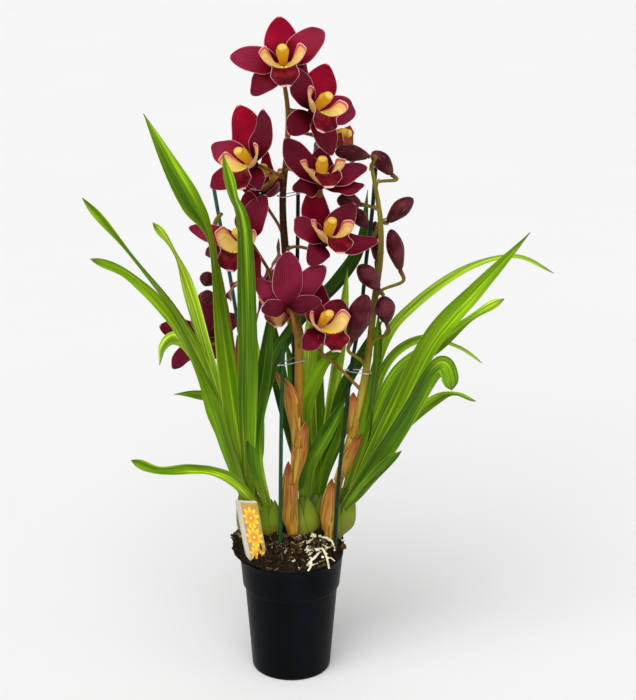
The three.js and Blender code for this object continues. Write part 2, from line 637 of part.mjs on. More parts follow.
function perianthSolid(bend) {
  const hub = new THREE.CylinderGeometry(HUB_RADIUS, 0.7 * HUB_RADIUS, HUB_BACK + HUB_FRONT - GAP, 6);
  hub.rotateX(Math.PI / 2);
  hub.translate(0, 0, (HUB_FRONT - GAP - HUB_BACK) / 2);
  const tepals = Object.entries(TEPALS).map(([name, tepal]) => (
    tepalSolid({ ...tepal, ...bend.all, ...bend[name] })));
  return fuse([solidOf(hub), ...tepals]);
}

// The lip: a trough with two side lobes beside the column, then a middle lobe that hangs and rolls back.
const LIP_SPINE = [[0, -0.5, 4.6], [0, -5, 10], [0, -9, 19], [0, -12, 29], [0, -15, 37], [0, -25, 42],
  [0, -35, 37]];
const LIP_WIDTHS = [4, 28, 64, 62, 27, 29, 12];
const LIP_ARCS = [50, 74, 108, 104, 50, -8, -25];
const COLUMN_SPINE = [[0, 0.5, HUB_FRONT], [0, 0.6, 7], [0, 5, 17], [0, 9, 26], [0, 10, 34]];
const COLUMN_RADII = [3.2, 3.6, 5, 6.4, 4.8];

function lipSolid() {
  const lip = blade(LIP_SPINE, {
    width: (t) => along(LIP_WIDTHS, t),
    face: (t) => new THREE.Vector3(0, 1 - t, 0.4 + t).normalize(),
    thickness: LIP_THICKNESS,
    arc: (t) => radians(along(LIP_ARCS, t)),
    stations: evenly(LIP_SPINE.length - 1),
    columns: 3,
  });
  const column = tube(COLUMN_SPINE, (t) => along(COLUMN_RADII, t), { sides: 5, steps: 3 });
  return lip.add(column);
}

function directionOf(azimuth, elevation) {
  const turn = radians(azimuth);
  const lift = radians(elevation);
  return new THREE.Vector3(Math.sin(turn) * Math.cos(lift), -Math.cos(turn) * Math.cos(lift), Math.sin(lift));
}

function bloomMatrix({ at, azimuth, elevation, lean }) {
  const front = directionOf(azimuth, elevation);
  const right = new THREE.Vector3().crossVectors(new THREE.Vector3(0, 0, 1), front).normalize();
  right.applyAxisAngle(front, -radians(lean));
  const up = new THREE.Vector3().crossVectors(front, right);
  return new THREE.Matrix4().makeBasis(right, up, front).setPosition(vector(at));
}

// ---------------------------------------------------------------- buds
// Base point, tip point, largest radius, stem and the place of the stalk along it.
const BUDS = {
  b1: { stem: 'stem_right', joint: 1, base: [89, -8, 660], tip: [50, -12, 666], radius: 9.5 },
  b2: { stem: 'stem_right', joint: 0.95, base: [117, 8, 635], tip: [94, 12, 661], radius: 10 },
  b3: { stem: 'stem_right', joint: 0.86, base: [81, 4, 600], tip: [53, -4, 607], radius: 10 },
  b4: { stem: 'stem_right', joint: 0.82, base: [113, 4, 579], tip: [142, 2, 608], radius: 10 },
  b5: { stem: 'stem_right', joint: 0.6, base: [129, 4, 520], tip: [117, 8, 569], radius: 10 },
  b6: { stem: 'stem_right', joint: 0.62, base: [102, -24, 505], tip: [78, -32, 536], radius: 11 },
  b7: { stem: 'stem_right', joint: 0.5, base: [113, -16, 461], tip: [108, -22, 495], radius: 12 },
  b8: { stem: 'stem_right', joint: 0.44, base: [71, -38, 446], tip: [87, -46, 505], radius: 14 },
  b9: { stem: 'stem_right', joint: 0.8, base: [92, 28, 564], tip: [70, 38, 586], radius: 9 },
  b10: { stem: 'stem_right', joint: 0.7, base: [102, 30, 524], tip: [100, 38, 571], radius: 8 },
  c1: { stem: 'stem_left', joint: 0.52, base: [-94, 66, 485], tip: [-111, 58, 495], radius: 9 },
  c2: { stem: 'stem_left', joint: 0.47, base: [-94, 66, 462], tip: [-111, 58, 471], radius: 9 },
};
const BUD_SHAPE = [0.24, 0.78, 1, 0.86, 0.2];

function budSolid({ base, tip, radius }) {
  const middle = vector(base).lerp(vector(tip), 0.5).add(new THREE.Vector3(0, 0, 1.5));
  return tube([vector(base), middle, vector(tip)], (t) => radius * along(BUD_SHAPE, t),
    { sides: 6, steps: 4, across: [0.3, 1, 0.2] });
}

// ---------------------------------------------------------------- stakes, wire ties and label
const STAKES = {
  stake_front: [[-14, -40, 166], [-12, -41, 343], [-10, -41, 417], [-9, -41, 446]],
  stake_back: [[4, 8, 166], [3, 10, 443], [7, 12, 530], [8, 13, 625]],
  stake_right: [[53, -31, 166], [57, -42, 270], [64, -28, 335], [72, -7, 402], [83, 6, 465], [89, 12, 531],
    [95, 18, 584], [99, 24, 640]],
  stake_left: [[-30, 44, 166], [-66, 78, 427], [-88, 92, 558], [-95, 96, 600]],
};

const STAKE_STEPS = 5;
const stakeSolid = (points) => tube(points, () => STAKE_RADIUS, { sides: 5, steps: STAKE_STEPS });

// Each tie holds one stem to one stake at a height.
const TIES = {
  tie_centre_low: { stem: 'stem_centre', stake: 'stake_front', height: 418 },
  tie_centre_high: { stem: 'stem_centre', stake: 'stake_back', height: 612 },
  tie_right_low: { stem: 'stem_right', stake: 'stake_right', height: 398 },
};

// The point of a rising curve at a height, and how far along the curve it is.
function atHeight(curve, height) {
  let low = 0;
  let high = 1;
  for (let k = 0; k < 30; k += 1) {
    const middle = (low + high) / 2;
    [low, high] = curve.getPoint(middle).z < height ? [middle, high] : [low, middle];
  }
  return { point: curve.getPoint(low), share: low };
}

function tieSolid({ stem, stake, height }) {
  const stemPlace = atHeight(spline(STEMS[stem].spine), height);
  const stakePlace = atHeight(spline(STAKES[stake]), height);
  const axis = stakePlace.point.clone().sub(stemPlace.point).setZ(0).normalize();
  const beside = new THREE.Vector3(-axis.y, axis.x, 0);
  const clear = TIE_RADIUS + 3 * GAP;
  const stemReach = along(STEMS[stem].radii, stemPlace.share) + clear + 0.9;
  const stakeReach = STAKE_RADIUS + clear;
  const turn = (centre, reach, angle) => centre.clone()
    .addScaledVector(axis, reach * Math.cos(radians(angle)))
    .addScaledVector(beside, reach * Math.sin(radians(angle)));
  const path = [
    turn(stakePlace.point, stakeReach + 5, 4),
    turn(stakePlace.point, stakeReach, 20),
    turn(stakePlace.point, stakeReach, 90),
    turn(stemPlace.point, stemReach, 100),
    turn(stemPlace.point, stemReach, 150),
    turn(stemPlace.point, stemReach, 210),
    turn(stemPlace.point, stemReach, 260),
    turn(stakePlace.point, stakeReach, 270),
    turn(stakePlace.point, stakeReach, 335),
    turn(stakePlace.point, stakeReach + 4, 352),
  ];
  return tube(path, () => TIE_RADIUS, { sides: 4, steps: 13, across: [0, 0, 1] });
}

const LABEL_WIDTH = 32;
const LABEL_CORNER = 4;
const LABEL_THICKNESS = 0.9;
const LABEL_SLACK = 2.4; // how much thicker its slot is
const LABEL_ARC = -14; // degrees, half the angle of its bowed section
const LABEL_FACE = [-0.7, -0.75, 0];
const LABEL_SPINE = [[-40, -39, 122], [-42.5, -41.5, 158], [-49, -42, 198], [-56, -40, 242]];

function labelSolid() {
  return blade(LABEL_SPINE, {
    width: (t) => LABEL_WIDTH - (t === 0 || t === 1 ? 2 * LABEL_CORNER : 0),
    face: () => vector(LABEL_FACE),
    thickness: LABEL_THICKNESS,
    arc: () => radians(LABEL_ARC),
    stations: [0, 0.035, 0.35, 0.65, 0.965, 1],
    columns: 4,
  });
}

// The slot that the label stands in, cut in the growing medium.
function labelSlot() {
  const foot = vector(LABEL_SPINE[0]).add(new THREE.Vector3(0.5, 0.5, -1));
  return blade([foot, ...LABEL_SPINE.slice(1)], {
    width: () => LABEL_WIDTH + 4 * GAP,
    face: () => vector(LABEL_FACE),
    thickness: LABEL_THICKNESS + LABEL_SLACK,
    arc: () => radians(LABEL_ARC),
    stations: [0, 0.35, 0.65],
    columns: 2,
  });
}

// ---------------------------------------------------------------- the whole plant
const BLACK = 0x15161a;
const BARK = 0x3a2a1e;
const LEAF = 0x4f8a2a;
const STEM = 0x8a7a35;
const TEPAL = 0x7d1030;
const LIP = 0xd9b45a;
const BUD = 0x5c2433;
const STAKE = 0x1f4a34;
const WIRE = 0xb9bcc0;
const CARD = 0xe7b93a;

function growthSolid({ bulbs, leaves }) {
  return fuse([...bulbs.map((bulb) => bulbSolid(bulb)), ...leaves.map(leafSolid)]);
}

function budEnds({ base, tip }) {
  const direction = vector(tip).sub(vector(base)).normalize();
  return { end: vector(base).addScaledVector(direction, -GAP), direction };
}

function bloomEnds(bloom) {
  const direction = directionOf(bloom.azimuth, bloom.elevation);
  return { end: vector(bloom.at).addScaledVector(direction, -(HUB_BACK + GAP)), direction };
}

function stemSolid(name) {
  const stem = STEMS[name];
  const pieces = [tube(stem.spine, (t) => along(stem.radii, t), { sides: 6, steps: stem.steps })];
  stem.sheaths.forEach((sheath) => pieces.push(sheathSolid(stem, sheath)));
  for (const [list, ends] of [[BLOOMS, bloomEnds], [BUDS, budEnds]]) {
    for (const item of Object.values(list).filter((one) => one.stem === name)) {
      const { end, direction } = ends(item);
      pieces.push(stalkSolid(stem, item, end, direction));
    }
  }
  return fuse(pieces);
}

// A plain straight hole in the growing medium, from just under a foot to a point above the mound.
function holeSolid(foot, above, radius, sides, flatten = 1) {
  const bottom = foot.clone().add(new THREE.Vector3(0, 0, -GAP));
  return tube([bottom, above], () => radius + HOLE_CLEARANCE, { sides, steps: 1, flatten });
}

function holes() {
  const cuts = [labelSlot()];
  for (const { bulbs } of Object.values(GROWTHS)) {
    for (const { spine, radii, flatten } of bulbs) {
      cuts.push(holeSolid(vector(spine[0]), vector(spine[1]), Math.max(...radii), BULB_SIDES, flatten));
    }
  }
  for (const { spine, radii } of Object.values(STEMS)) {
    cuts.push(holeSolid(vector(spine[0]), vector(spine[1]), radii[0], 6));
  }
  for (const points of Object.values(STAKES)) {
    cuts.push(holeSolid(vector(points[0]), spline(points).getPoint(1 / STAKE_STEPS), STAKE_RADIUS, 5));
  }
  return fuse(cuts);
}

addPiece('pot', potSolid(), BLACK, 0.4);
addPiece('growing_medium', mediumSolid().subtract(holes()), BARK, 0.95);
for (const [name, growth] of Object.entries(GROWTHS)) {
  addPiece(name, growthSolid(growth), LEAF, 0.5);
}
for (const name of Object.keys(STEMS)) {
  addPiece(name, stemSolid(name), STEM, 0.5);
}
for (const [name, bloom] of Object.entries(BLOOMS)) {
  const matrix = bloomMatrix(bloom).elements;
  addPiece(`bloom_${name}_tepals`, perianthSolid(bloom.bend).transform(matrix), TEPAL, 0.5);
  addPiece(`bloom_${name}_lip`, lipSolid().transform(matrix), LIP, 0.5);
}
for (const [name, bud] of Object.entries(BUDS)) {
  addPiece(`bud_${name}`, budSolid(bud), BUD, 0.5);
}
for (const [name, points] of Object.entries(STAKES)) {
  addPiece(name, stakeSolid(points), STAKE, 0.5);
}
for (const [name, tie] of Object.entries(TIES)) {
  addPiece(name, tieSolid(tie), WIRE, 0.4);
}
addPiece('label', labelSolid(), CARD, 0.5);

export default part;
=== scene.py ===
"""Looks of a potted Cymbidium orchid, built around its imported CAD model.

Sizes in the tables are millimetres in the row frame: +X right, -Y towards the viewer, +Z up, origin
under the middle of the pot. Meshes are made in metres. A place on a curve or sheet is its share of the
length, from 0 to 1.
"""

import math

import bpy
import numpy as np
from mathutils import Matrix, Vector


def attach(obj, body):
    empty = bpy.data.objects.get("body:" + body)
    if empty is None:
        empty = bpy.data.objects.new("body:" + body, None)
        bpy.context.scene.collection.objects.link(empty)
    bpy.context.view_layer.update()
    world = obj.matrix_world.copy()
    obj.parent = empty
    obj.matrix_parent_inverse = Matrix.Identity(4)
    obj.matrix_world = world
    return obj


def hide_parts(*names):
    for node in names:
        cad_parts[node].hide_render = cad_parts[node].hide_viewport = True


MM = 0.001

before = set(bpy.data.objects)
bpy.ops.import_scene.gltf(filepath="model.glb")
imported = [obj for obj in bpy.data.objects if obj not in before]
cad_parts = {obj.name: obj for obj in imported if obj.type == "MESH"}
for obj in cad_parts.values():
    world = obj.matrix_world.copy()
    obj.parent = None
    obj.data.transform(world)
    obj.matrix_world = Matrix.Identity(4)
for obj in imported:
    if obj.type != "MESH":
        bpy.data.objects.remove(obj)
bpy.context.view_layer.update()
bpy.context.scene.view_settings.view_transform = "Standard"


# ---------------------------------------------------------------- curves and grids
def unit(v):
    return v / np.maximum(np.linalg.norm(v, axis=-1, keepdims=True), 1e-9)


def smooth(x, low=0.0, high=1.0):
    x = np.clip((np.asarray(x, float) - low) / (high - low), 0, 1)
    return x * x * (3 - 2 * x)


def curve(points, places):
    """Points and unit tangents of the smooth curve through points, at places."""
    knots = np.array(points, float)
    knots = np.vstack([2 * knots[0] - knots[1], knots, 2 * knots[-1] - knots[-2]])
    reach = np.clip(places, 0, 1) * (len(knots) - 3)
    span = np.minimum(reach.astype(int), len(knots) - 4)
    s = (reach - span)[:, None]
    before, start, end, after = (knots[span + k] for k in range(4))
    leave, arrive = (end - before) / 2, (after - start) / 2
    square = 3 * (end - start) - 2 * leave - arrive
    cube = 2 * (start - end) + leave + arrive
    place = start + leave * s + square * s**2 + cube * s**3
    slope = leave + 2 * square * s + 3 * cube * s**2
    return place, unit(slope)


def point_on(points, place):
    return curve(points, np.array([place]))[0][0]


def curved(values, places):
    """Values given at even spaces, read smoothly at places."""
    return curve(np.array(values, float)[:, None], np.asarray(places, float))[0][:, 0]


def straight(values, places):
    return np.interp(places, np.linspace(0, 1, len(values)), values)


def between(marks, triples, values):
    """Three numbers for each value, from those given at the marks."""
    return np.stack([np.interp(values, marks, triples[:, k]) for k in range(3)], axis=-1)


def facing(directions, places):
    sides = unit(np.array(directions, float))
    return unit(between(np.linspace(0, 1, len(sides)), sides, places))


def blended(stops, values):
    """A colour for each value, from stops of (value, colour)."""
    colours = np.array([colour for _, colour in stops], float)
    return between([mark for mark, _ in stops], colours, values)


def covered(base, colour, share):
    """The base colours, covered with another colour by a share of each."""
    return base * (1 - share)[:, None] + np.array(colour) * share[:, None]


def grid_faces(rows, columns, closed=False):
    """Quads of a grid of rows x columns points; closed joins the last column to the first."""
    across = columns if closed else columns - 1
    row, column = np.meshgrid(np.arange(rows - 1), np.arange(across), indexing="ij")
    a = row * columns + column
    b = row * columns + (column + 1) % columns
    return np.stack([a, b, b + columns, a + columns], axis=-1).reshape(-1, 4)


def sheet_faces(rows, columns):
    """Faces of a sheet: its front, its back, whose points follow those of the front, and its edges."""
    total = rows * columns
    front = grid_faces(rows, columns)
    left = np.arange(rows - 1) * columns
    right = left + columns - 1
    low = np.arange(columns - 1)
    high = low + (rows - 1) * columns
    return [
        front,
        front[:, ::-1] + total,
        np.stack([left, left + columns, left + columns + total, left + total], axis=1),
        np.stack([right, right + total, right + columns + total, right + columns], axis=1),
        np.stack([low, low + total, low + 1 + total, low + 1], axis=1),
        np.stack([high, high + 1, high + 1 + total, high + total], axis=1),
    ]


def ring_faces(rings, sides):
    """Faces of a solid of rings; the middle points of its two ends follow the points of the rings."""
    k = np.arange(sides)
    after = (k + 1) % sides
    end = (rings - 1) * sides
    middle = rings * sides
    return [
        grid_faces(rings, sides, closed=True),
        np.stack([after, k, np.full(sides, middle)], axis=1),
        np.stack([end + k, end + after, np.full(sides, middle + 1)], axis=1),
    ]


# ---------------------------------------------------------------- shapes and pieces
class Shape:
    """Points and faces, the place of each point along and across, and 1 at the back of a sheet."""

    def __init__(self, points, faces, along=0.0, across=0.0, back=0.0):
        self.points = points
        self.faces = faces
        self.along = along
        self.across = across
        self.back = back


class Piece:
    """Gathers shapes with their colours, and makes one mesh of them."""

    NUMBERS = ("along", "across", "back", "mark")

    def __init__(self):
        self.points, self.tints, self.faces, self.slots = [], [], [], []
        self.numbers = {name: [] for name in self.NUMBERS}
        self.count = 0

    def add(self, shape, tint, slot=0, mark=0.0, move=None):
        """Adds a shape in one of the piece's materials; move takes its points to their place."""
        size = len(shape.points)
        self.points.append(move(shape.points) if move else shape.points)
        self.tints.append(np.broadcast_to(tint, (size, 3)))
        for name, value in zip(self.NUMBERS, (shape.along, shape.across, shape.back, mark)):
            self.numbers[name].append(np.broadcast_to(value, (size,)))
        for block in shape.faces:
            self.faces.append(block + self.count)
            self.slots.append(np.full(len(block), slot))
        self.count += size

    def build(self, name, materials, slot, nodes=()):
        corners = [face for block in self.faces for face in block.tolist()]
        mesh = bpy.data.meshes.new(name)
        mesh.from_pydata((np.vstack(self.points) * MM).tolist(), [], corners)
        mesh.polygons.foreach_set("material_index", np.concatenate(self.slots))
        mesh.polygons.foreach_set("use_smooth", np.ones(len(corners), bool))
        tint = mesh.attributes.new("tint", "FLOAT_COLOR", "POINT")
        colours = np.hstack([np.vstack(self.tints), np.ones((self.count, 1))])
        tint.data.foreach_set("color", colours.astype(np.float32).ravel())
        for key, blocks in self.numbers.items():
            attribute = mesh.attributes.new(key, "FLOAT", "POINT")
            attribute.data.foreach_set("value", np.concatenate(blocks).astype(np.float32))
        mesh.update()
        made = bpy.data.objects.new(name, mesh)
        bpy.context.scene.collection.objects.link(made)
        for material in materials:
            mesh.materials.append(material)
        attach(made, "root")
        if nodes:
            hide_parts(*nodes)
        return made


EDGE_THINNING = 0.7  # how much thinner a sheet is at its edge


def sheet(spine, width, face, arc, rows, columns, thickness, rise=0.0):
    """A thin sheet along a spine, with its front towards face and half its section's angle in arc."""
    count = len(rows)
    u = np.linspace(-1, 1, columns + 1)
    centre, tangent = curve(spine, rows)
    side = unit(np.cross(tangent, face))
    normal = unit(np.cross(side, tangent))
    half = np.broadcast_to(width, (count,))[:, None] / 2
    angle = np.broadcast_to(arc, (count,))[:, None]
    angle = np.where(np.abs(angle) < 1e-3, 1e-3, angle)
    turn = u * angle
    lift = half * (1 - np.cos(turn)) / angle + rise
    middle = centre[:, None] + side[:, None] * (half * np.sin(turn) / angle)[..., None]
    middle = middle + normal[:, None] * lift[..., None]
    outward = normal[:, None] * np.cos(turn)[..., None] - side[:, None] * np.sin(turn)[..., None]
    depth = outward * (thickness * (1 - EDGE_THINNING * np.abs(u) ** 6))[None, :, None] / 2
    points = np.concatenate([(middle + depth).reshape(-1, 3), (middle - depth).reshape(-1, 3)])
    along = np.tile(np.repeat(rows, columns + 1), 2)
    back = np.repeat([0.0, 1.0], count * (columns + 1))
    return Shape(points, sheet_faces(count, columns + 1), along, np.tile(u, 2 * count), back)


def tube(spine, radius, rows, sides=12, flatten=1.0, across=(1, 0, 0), relief=None):
    """A round solid along a curve. relief(rows, angles) scales its radius."""
    centre, tangent = curve(spine, rows)
    back = unit(np.cross(tangent, across))
    wide = unit(np.cross(back, tangent))
    angle = 2 * np.pi * (np.arange(sides) + 0.5) / sides
    size = np.broadcast_to(radius, (len(rows),))[:, None] * np.ones(sides)
    if relief is not None:
        size = size * relief(rows[:, None], angle[None])
    ring = wide[:, None] * (size * np.cos(angle))[..., None]
    ring = ring + back[:, None] * (size * flatten * np.sin(angle))[..., None]
    points = np.concatenate([(centre[:, None] + ring).reshape(-1, 3), centre[:1], centre[-1:]])
    along = np.concatenate([np.repeat(rows, sides), rows[:1], rows[-1:]])
    turn = np.concatenate([np.tile(angle / np.pi - 1, len(rows)), [0, 0]])
    return Shape(points, ring_faces(len(rows), sides), along, turn)


def ball(centre, radii, sides=14):
    """An ellipsoid."""
    up = np.linspace(-np.pi / 2, np.pi / 2, sides // 2 + 2)[1:-1]
    angle = 2 * np.pi * np.arange(sides) / sides
    shell = np.stack([
        np.cos(up)[:, None] * np.cos(angle),
        np.cos(up)[:, None] * np.sin(angle),
        np.sin(up)[:, None] * np.ones(sides),
    ], axis=-1).reshape(-1, 3)
    points = np.vstack([shell, [[0, 0, -1], [0, 0, 1]]]) * radii + centre
    return Shape(points, ring_faces(len(up), sides))


# ---------------------------------------------------------------- materials
class Material:
    """A Principled material, with short calls for its nodes."""

    def __init__(self, name, **sockets):
        self.data = bpy.data.materials.new(name)
        self.data.use_nodes = True
        self.tree = self.data.node_tree
        self.shader = self.tree.nodes["Principled BSDF"]
        for key, value in sockets.items():
            self.put(self.shader.inputs[key.replace("_", " ")], value)

    def put(self, socket, value):
        if isinstance(value, bpy.types.NodeSocket):
            self.tree.links.new(value, socket)
        else:
            if isinstance(value, tuple) and len(value) == 3 and len(socket.default_value) == 4:
                value = (*value, 1.0)
            socket.default_value = value

    def node(self, kind, inputs=(), **settings):
        made = self.tree.nodes.new("ShaderNode" + kind)
        for key, value in settings.items():
            setattr(made, key, value)
        for key, value in dict(inputs).items():
            self.put(made.inputs[key], value)
        return made

    def number(self, name):
        return self.node("Attribute", attribute_name=name).outputs["Fac"]

    def tint(self):
        return self.node("Attribute", attribute_name="tint").outputs["Color"]

    def math(self, operation, a, b=0.0):
        return self.node("Math", {0: a, 1: b}, operation=operation).outputs[0]

    def times(self, a, b):
        return self.math("MULTIPLY", a, b)

    def step(self, value, low, high):
        """0 below low and 1 above high, with a soft change; low may be above high."""
        made = self.node("MapRange", {"Value": value, "From Min": low, "From Max": high})
        made.interpolation_type = "SMOOTHSTEP"
        return made.outputs["Result"]

    def beyond(self, low, high):
        """0 at low and 1 at high, as places along a sheet."""
        return self.step(self.number("along"), low, high)

    def beside(self, low, high):
        """0 at low and 1 at high, as distances from a sheet's middle line, with its edges at 1."""
        return self.step(self.math("ABSOLUTE", self.number("across")), low, high)

    def mix(self, a, b, factor, way="MIX"):
        made = self.node("Mix", data_type="RGBA", blend_type=way, clamp_factor=True)
        self.put(made.inputs[0], factor)
        self.put(made.inputs[6], a)
        self.put(made.inputs[7], b)
        return made.outputs[2]

    def cover(self, base, colour, mask, share):
        """A colour over a share of the base, where the mask is 1."""
        return self.mix(base, colour, self.times(mask, share))

    def filter(self, base, colour, mask, share):
        """The base multiplied by a colour, by a share, where the mask is 1."""
        return self.mix(base, colour, self.times(mask, share), "MULTIPLY")

    def noise(self, scale, detail=3.0, height=1.0):
        """Noise in the object's place; a height below 1 draws it out upwards."""
        vector = self.node("TexCoord").outputs["Object"]
        if height != 1.0:
            vector = self.node("Mapping", {"Vector": vector, "Scale": (1.0, 1.0, height)}).outputs[0]
        return self.node("TexNoise", {"Vector": vector, "Scale": scale, "Detail": detail}).outputs["Fac"]

    def spots(self, scale, low, high, detail=3.0, height=1.0):
        """1 in the spots where the noise is above high."""
        return self.step(self.noise(scale, detail, height), low, high)

    def streaks(self, wide, long, low, high):
        """Spots drawn out along a sheet, different on each one by its mark."""
        vector = self.node("CombineXYZ", {
            0: self.times(self.number("across"), wide),
            1: self.times(self.number("along"), long),
            2: self.times(self.number("mark"), 37.0),
        }).outputs[0]
        grain = self.node("TexNoise", {"Vector": vector, "Scale": 1.0, "Detail": 3.0}).outputs["Fac"]
        return self.step(grain, low, high)

    def lines(self, count, breadth, wander=0.0, over="across"):
        """Fine lines that follow a sheet, as many as count across half of it."""
        phase = self.times(self.number(over), count * math.pi * 2)
        if wander:
            phase = self.math("ADD", phase, self.times(self.noise(60.0), wander))
        return self.step(self.math("SINE", phase), 1 - breadth, 1.0)

    def glow(self, weight, radius, scale=0.0015):
        """Lets light pass under the surface."""
        for key, value in (("Weight", weight), ("Radius", radius), ("Scale", scale)):
            self.put(self.shader.inputs["Subsurface " + key], value)

    def bump(self, height, strength, distance):
        made = self.node("Bump", {"Height": height, "Strength": strength, "Distance": distance})
        self.put(self.shader.inputs["Normal"], made.outputs[0])

    def colour(self, value):
        self.put(self.shader.inputs["Base Color"], value)
        return self.data


def tepal_material():
    m = Material("tepal", Roughness=0.38, Specular_IOR_Level=0.03)
    m.glow(0.06, (1.0, 0.15, 0.2))
    blotch = m.spots(28.0, 0.35, 0.7)
    vein = m.times(m.lines(7.0, 0.6, 1.4), m.times(m.beyond(0.25, 0.6), m.number("mark")))
    rim = m.math("MAXIMUM", m.beside(0.945, 0.985), m.beyond(0.975, 0.995))
    base = m.filter(m.tint(), (0.5, 0.4, 0.45), blotch, 0.8)
    base = m.cover(base, (0.52, 0.10, 0.18), vein, 0.34)
    m.bump(m.lines(7.0, 0.9, 1.4), 0.35, 0.0006)
    return m.colour(m.cover(base, (0.74, 0.34, 0.34), rim, 0.8))


def lip_material():
    """Yellow and cream side lobes with red stripes, a dark red middle lobe and a yellow ridge."""
    m = Material("lip", Roughness=0.36, Specular_IOR_Level=0.08)
    m.glow(0.15, (1.0, 0.6, 0.25))
    stripe = m.times(m.lines(5.0, 0.5, 2.0), m.beside(0.35, 0.8))
    inside = m.mix((0.86, 0.64, 0.20), (0.80, 0.34, 0.17), m.beside(0.7, 0.97))
    inside = m.cover(inside, (0.55, 0.08, 0.06), stripe, 0.3)
    outside = m.mix((0.64, 0.37, 0.085), (0.72, 0.42, 0.16), m.beside(0.5, 0.95))
    cream = m.mix(inside, outside, m.number("back"))
    cream = m.cover(cream, (0.45, 0.02, 0.04), m.beside(0.86, 0.955), 0.85)
    front = m.mix((0.060, 0.0005, 0.003), (0.20, 0.001, 0.012), m.spots(120.0, 0.35, 0.7))
    behind = m.mix((0.60, 0.33, 0.09), (0.22, 0.03, 0.03), m.beside(0.2, 0.7))
    red = m.mix(front, behind, m.number("back"))
    yellow = m.mix((0.92, 0.62, 0.01), (0.94, 0.78, 0.05), m.noise(400.0))
    base = m.mix(cream, red, m.beyond(0.60, 0.66))
    base = m.mix(base, yellow, m.step(m.number("mark"), 0.15, 0.45))
    base = m.mix(base, m.tint(), 1.0, "MULTIPLY")
    rim = m.math("MAXIMUM", m.beside(0.955, 0.985), m.beyond(0.955, 0.985))
    m.bump(m.noise(700.0), 0.25, 0.0005)
    return m.colour(m.cover(base, (0.88, 0.52, 0.50), rim, 0.9))


def column_material():
    m = Material("column", Roughness=0.32, Specular_IOR_Level=0.14)
    m.glow(0.15, (1.0, 0.6, 0.25))
    streak = m.spots(220.0, 0.45, 0.7, height=0.3)
    m.bump(m.noise(500.0), 0.2, 0.0004)
    return m.colour(m.cover(m.tint(), (0.62, 0.28, 0.06), streak, 0.35))


def leaf_material():
    m = Material("leaf", Roughness=0.34, Specular_IOR_Level=0.10)
    m.glow(0.10, (0.5, 1.0, 0.15), 0.002)
    # Streaks drawn out along each leaf: the dark ones are painted shade, the light ones painted highlights.
    dark, light = m.streaks(1.3, 3.0, 0.38, 0.62), m.streaks(5.0, 2.2, 0.54, 0.66)
    keel, rim = m.beside(0.09, 0.02), m.beside(0.95, 0.99)
    base = m.filter(m.tint(), (0.38, 0.50, 0.25), dark, 0.8)
    base = m.filter(base, (2.9, 2.3, 5.0), light, 0.75)
    base = m.filter(base, (1.35, 1.25, 1.2), m.lines(9.0, 1.0), 0.22)
    base = m.cover(base, (0.20, 0.34, 0.02), keel, 0.25)
    m.bump(m.lines(9.0, 1.6), 0.3, 0.0008)
    return m.colour(m.cover(base, (0.32, 0.42, 0.05), rim, 0.55))


def bulb_material():
    m = Material("bulb", Roughness=0.45, Specular_IOR_Level=0.2)
    rib = m.lines(9.0, 1.2)
    base = m.cover(m.tint(), (0.20, 0.13, 0.03), m.spots(60.0, 0.4, 0.65, height=0.35), 0.45)
    m.bump(rib, 0.35, 0.0008)
    return m.colour(m.filter(base, (1.3, 1.25, 1.1), rib, 0.3))


def stem_material():
    m = Material("flower_stem", Roughness=0.40, Specular_IOR_Level=0.10)
    streak, fleck = m.spots(120.0, 0.4, 0.65, height=0.08), m.spots(420.0, 0.66, 0.72)
    base = m.filter(m.tint(), (0.50, 0.36, 0.32), streak, 0.7)
    m.bump(m.noise(160.0, height=0.12), 0.25, 0.0008)
    return m.colour(m.cover(base, (0.40, 0.30, 0.12), fleck, 0.4))


def sheath_material():
    m = Material("sheath", Roughness=0.5, Specular_IOR_Level=0.08)
    grain = m.lines(8.0, 1.0, 0.8)
    dark, gold = m.streaks(3.2, 1.8, 0.40, 0.62), m.streaks(4.0, 1.6, 0.50, 0.66)
    base = m.cover(m.tint(), (0.12, 0.022, 0.008), dark, 0.75)
    base = m.cover(base, (0.56, 0.38, 0.07), gold, 0.65)
    base = m.filter(base, (1.3, 1.2, 1.1), grain, 0.3)
    m.bump(grain, 0.5, 0.0006)
    return m.colour(m.cover(base, (0.65, 0.36, 0.16), m.beside(0.93, 0.99), 0.7))


def bud_material():
    m = Material("bud", Roughness=0.36, Specular_IOR_Level=0.12)
    grain = m.lines(11.0, 1.0, 1.0)
    seam = m.step(m.number("mark"), 0.4, 0.95)
    # Lighter maroon patches are painted highlights.
    base = m.cover(m.tint(), (0.19, 0.035, 0.048), m.spots(45.0, 0.42, 0.66), 0.45)
    base = m.filter(base, (1.45, 1.25, 1.3), grain, 0.3)
    m.bump(grain, 0.3, 0.0006)
    return m.colour(m.cover(base, (0.30, 0.13, 0.12), seam, 0.35))


def pot_material():
    m = Material("pot", Specular_IOR_Level=0.04)
    haze = m.spots(22.0, 0.35, 0.75, height=0.5)
    dust = m.times(m.spots(900.0, 0.70, 0.76, 2.0), m.spots(60.0, 0.5, 0.7))
    base = m.mix((0.0016, 0.0022, 0.0032), (0.0036, 0.0048, 0.0066), haze)
    m.put(m.shader.inputs["Roughness"], m.math("ADD", m.times(haze, 0.12), 0.34))
    m.bump(m.noise(1500.0, 1.0), 0.12, 0.0003)
    return m.colour(m.cover(base, (0.05, 0.05, 0.05), dust, 0.5))


def bark_material():
    m = Material("bark", Roughness=0.9, Specular_IOR_Level=0.05)
    base = m.mix(m.tint(), (0.35, 0.3, 0.28), m.spots(240.0, 0.35, 0.7, 5.0), "MULTIPLY")
    m.bump(m.noise(500.0, 6.0), 0.8, 0.002)
    return m.colour(m.cover(base, (0.22, 0.13, 0.07), m.spots(900.0, 0.62, 0.7, 2.0), 0.4))


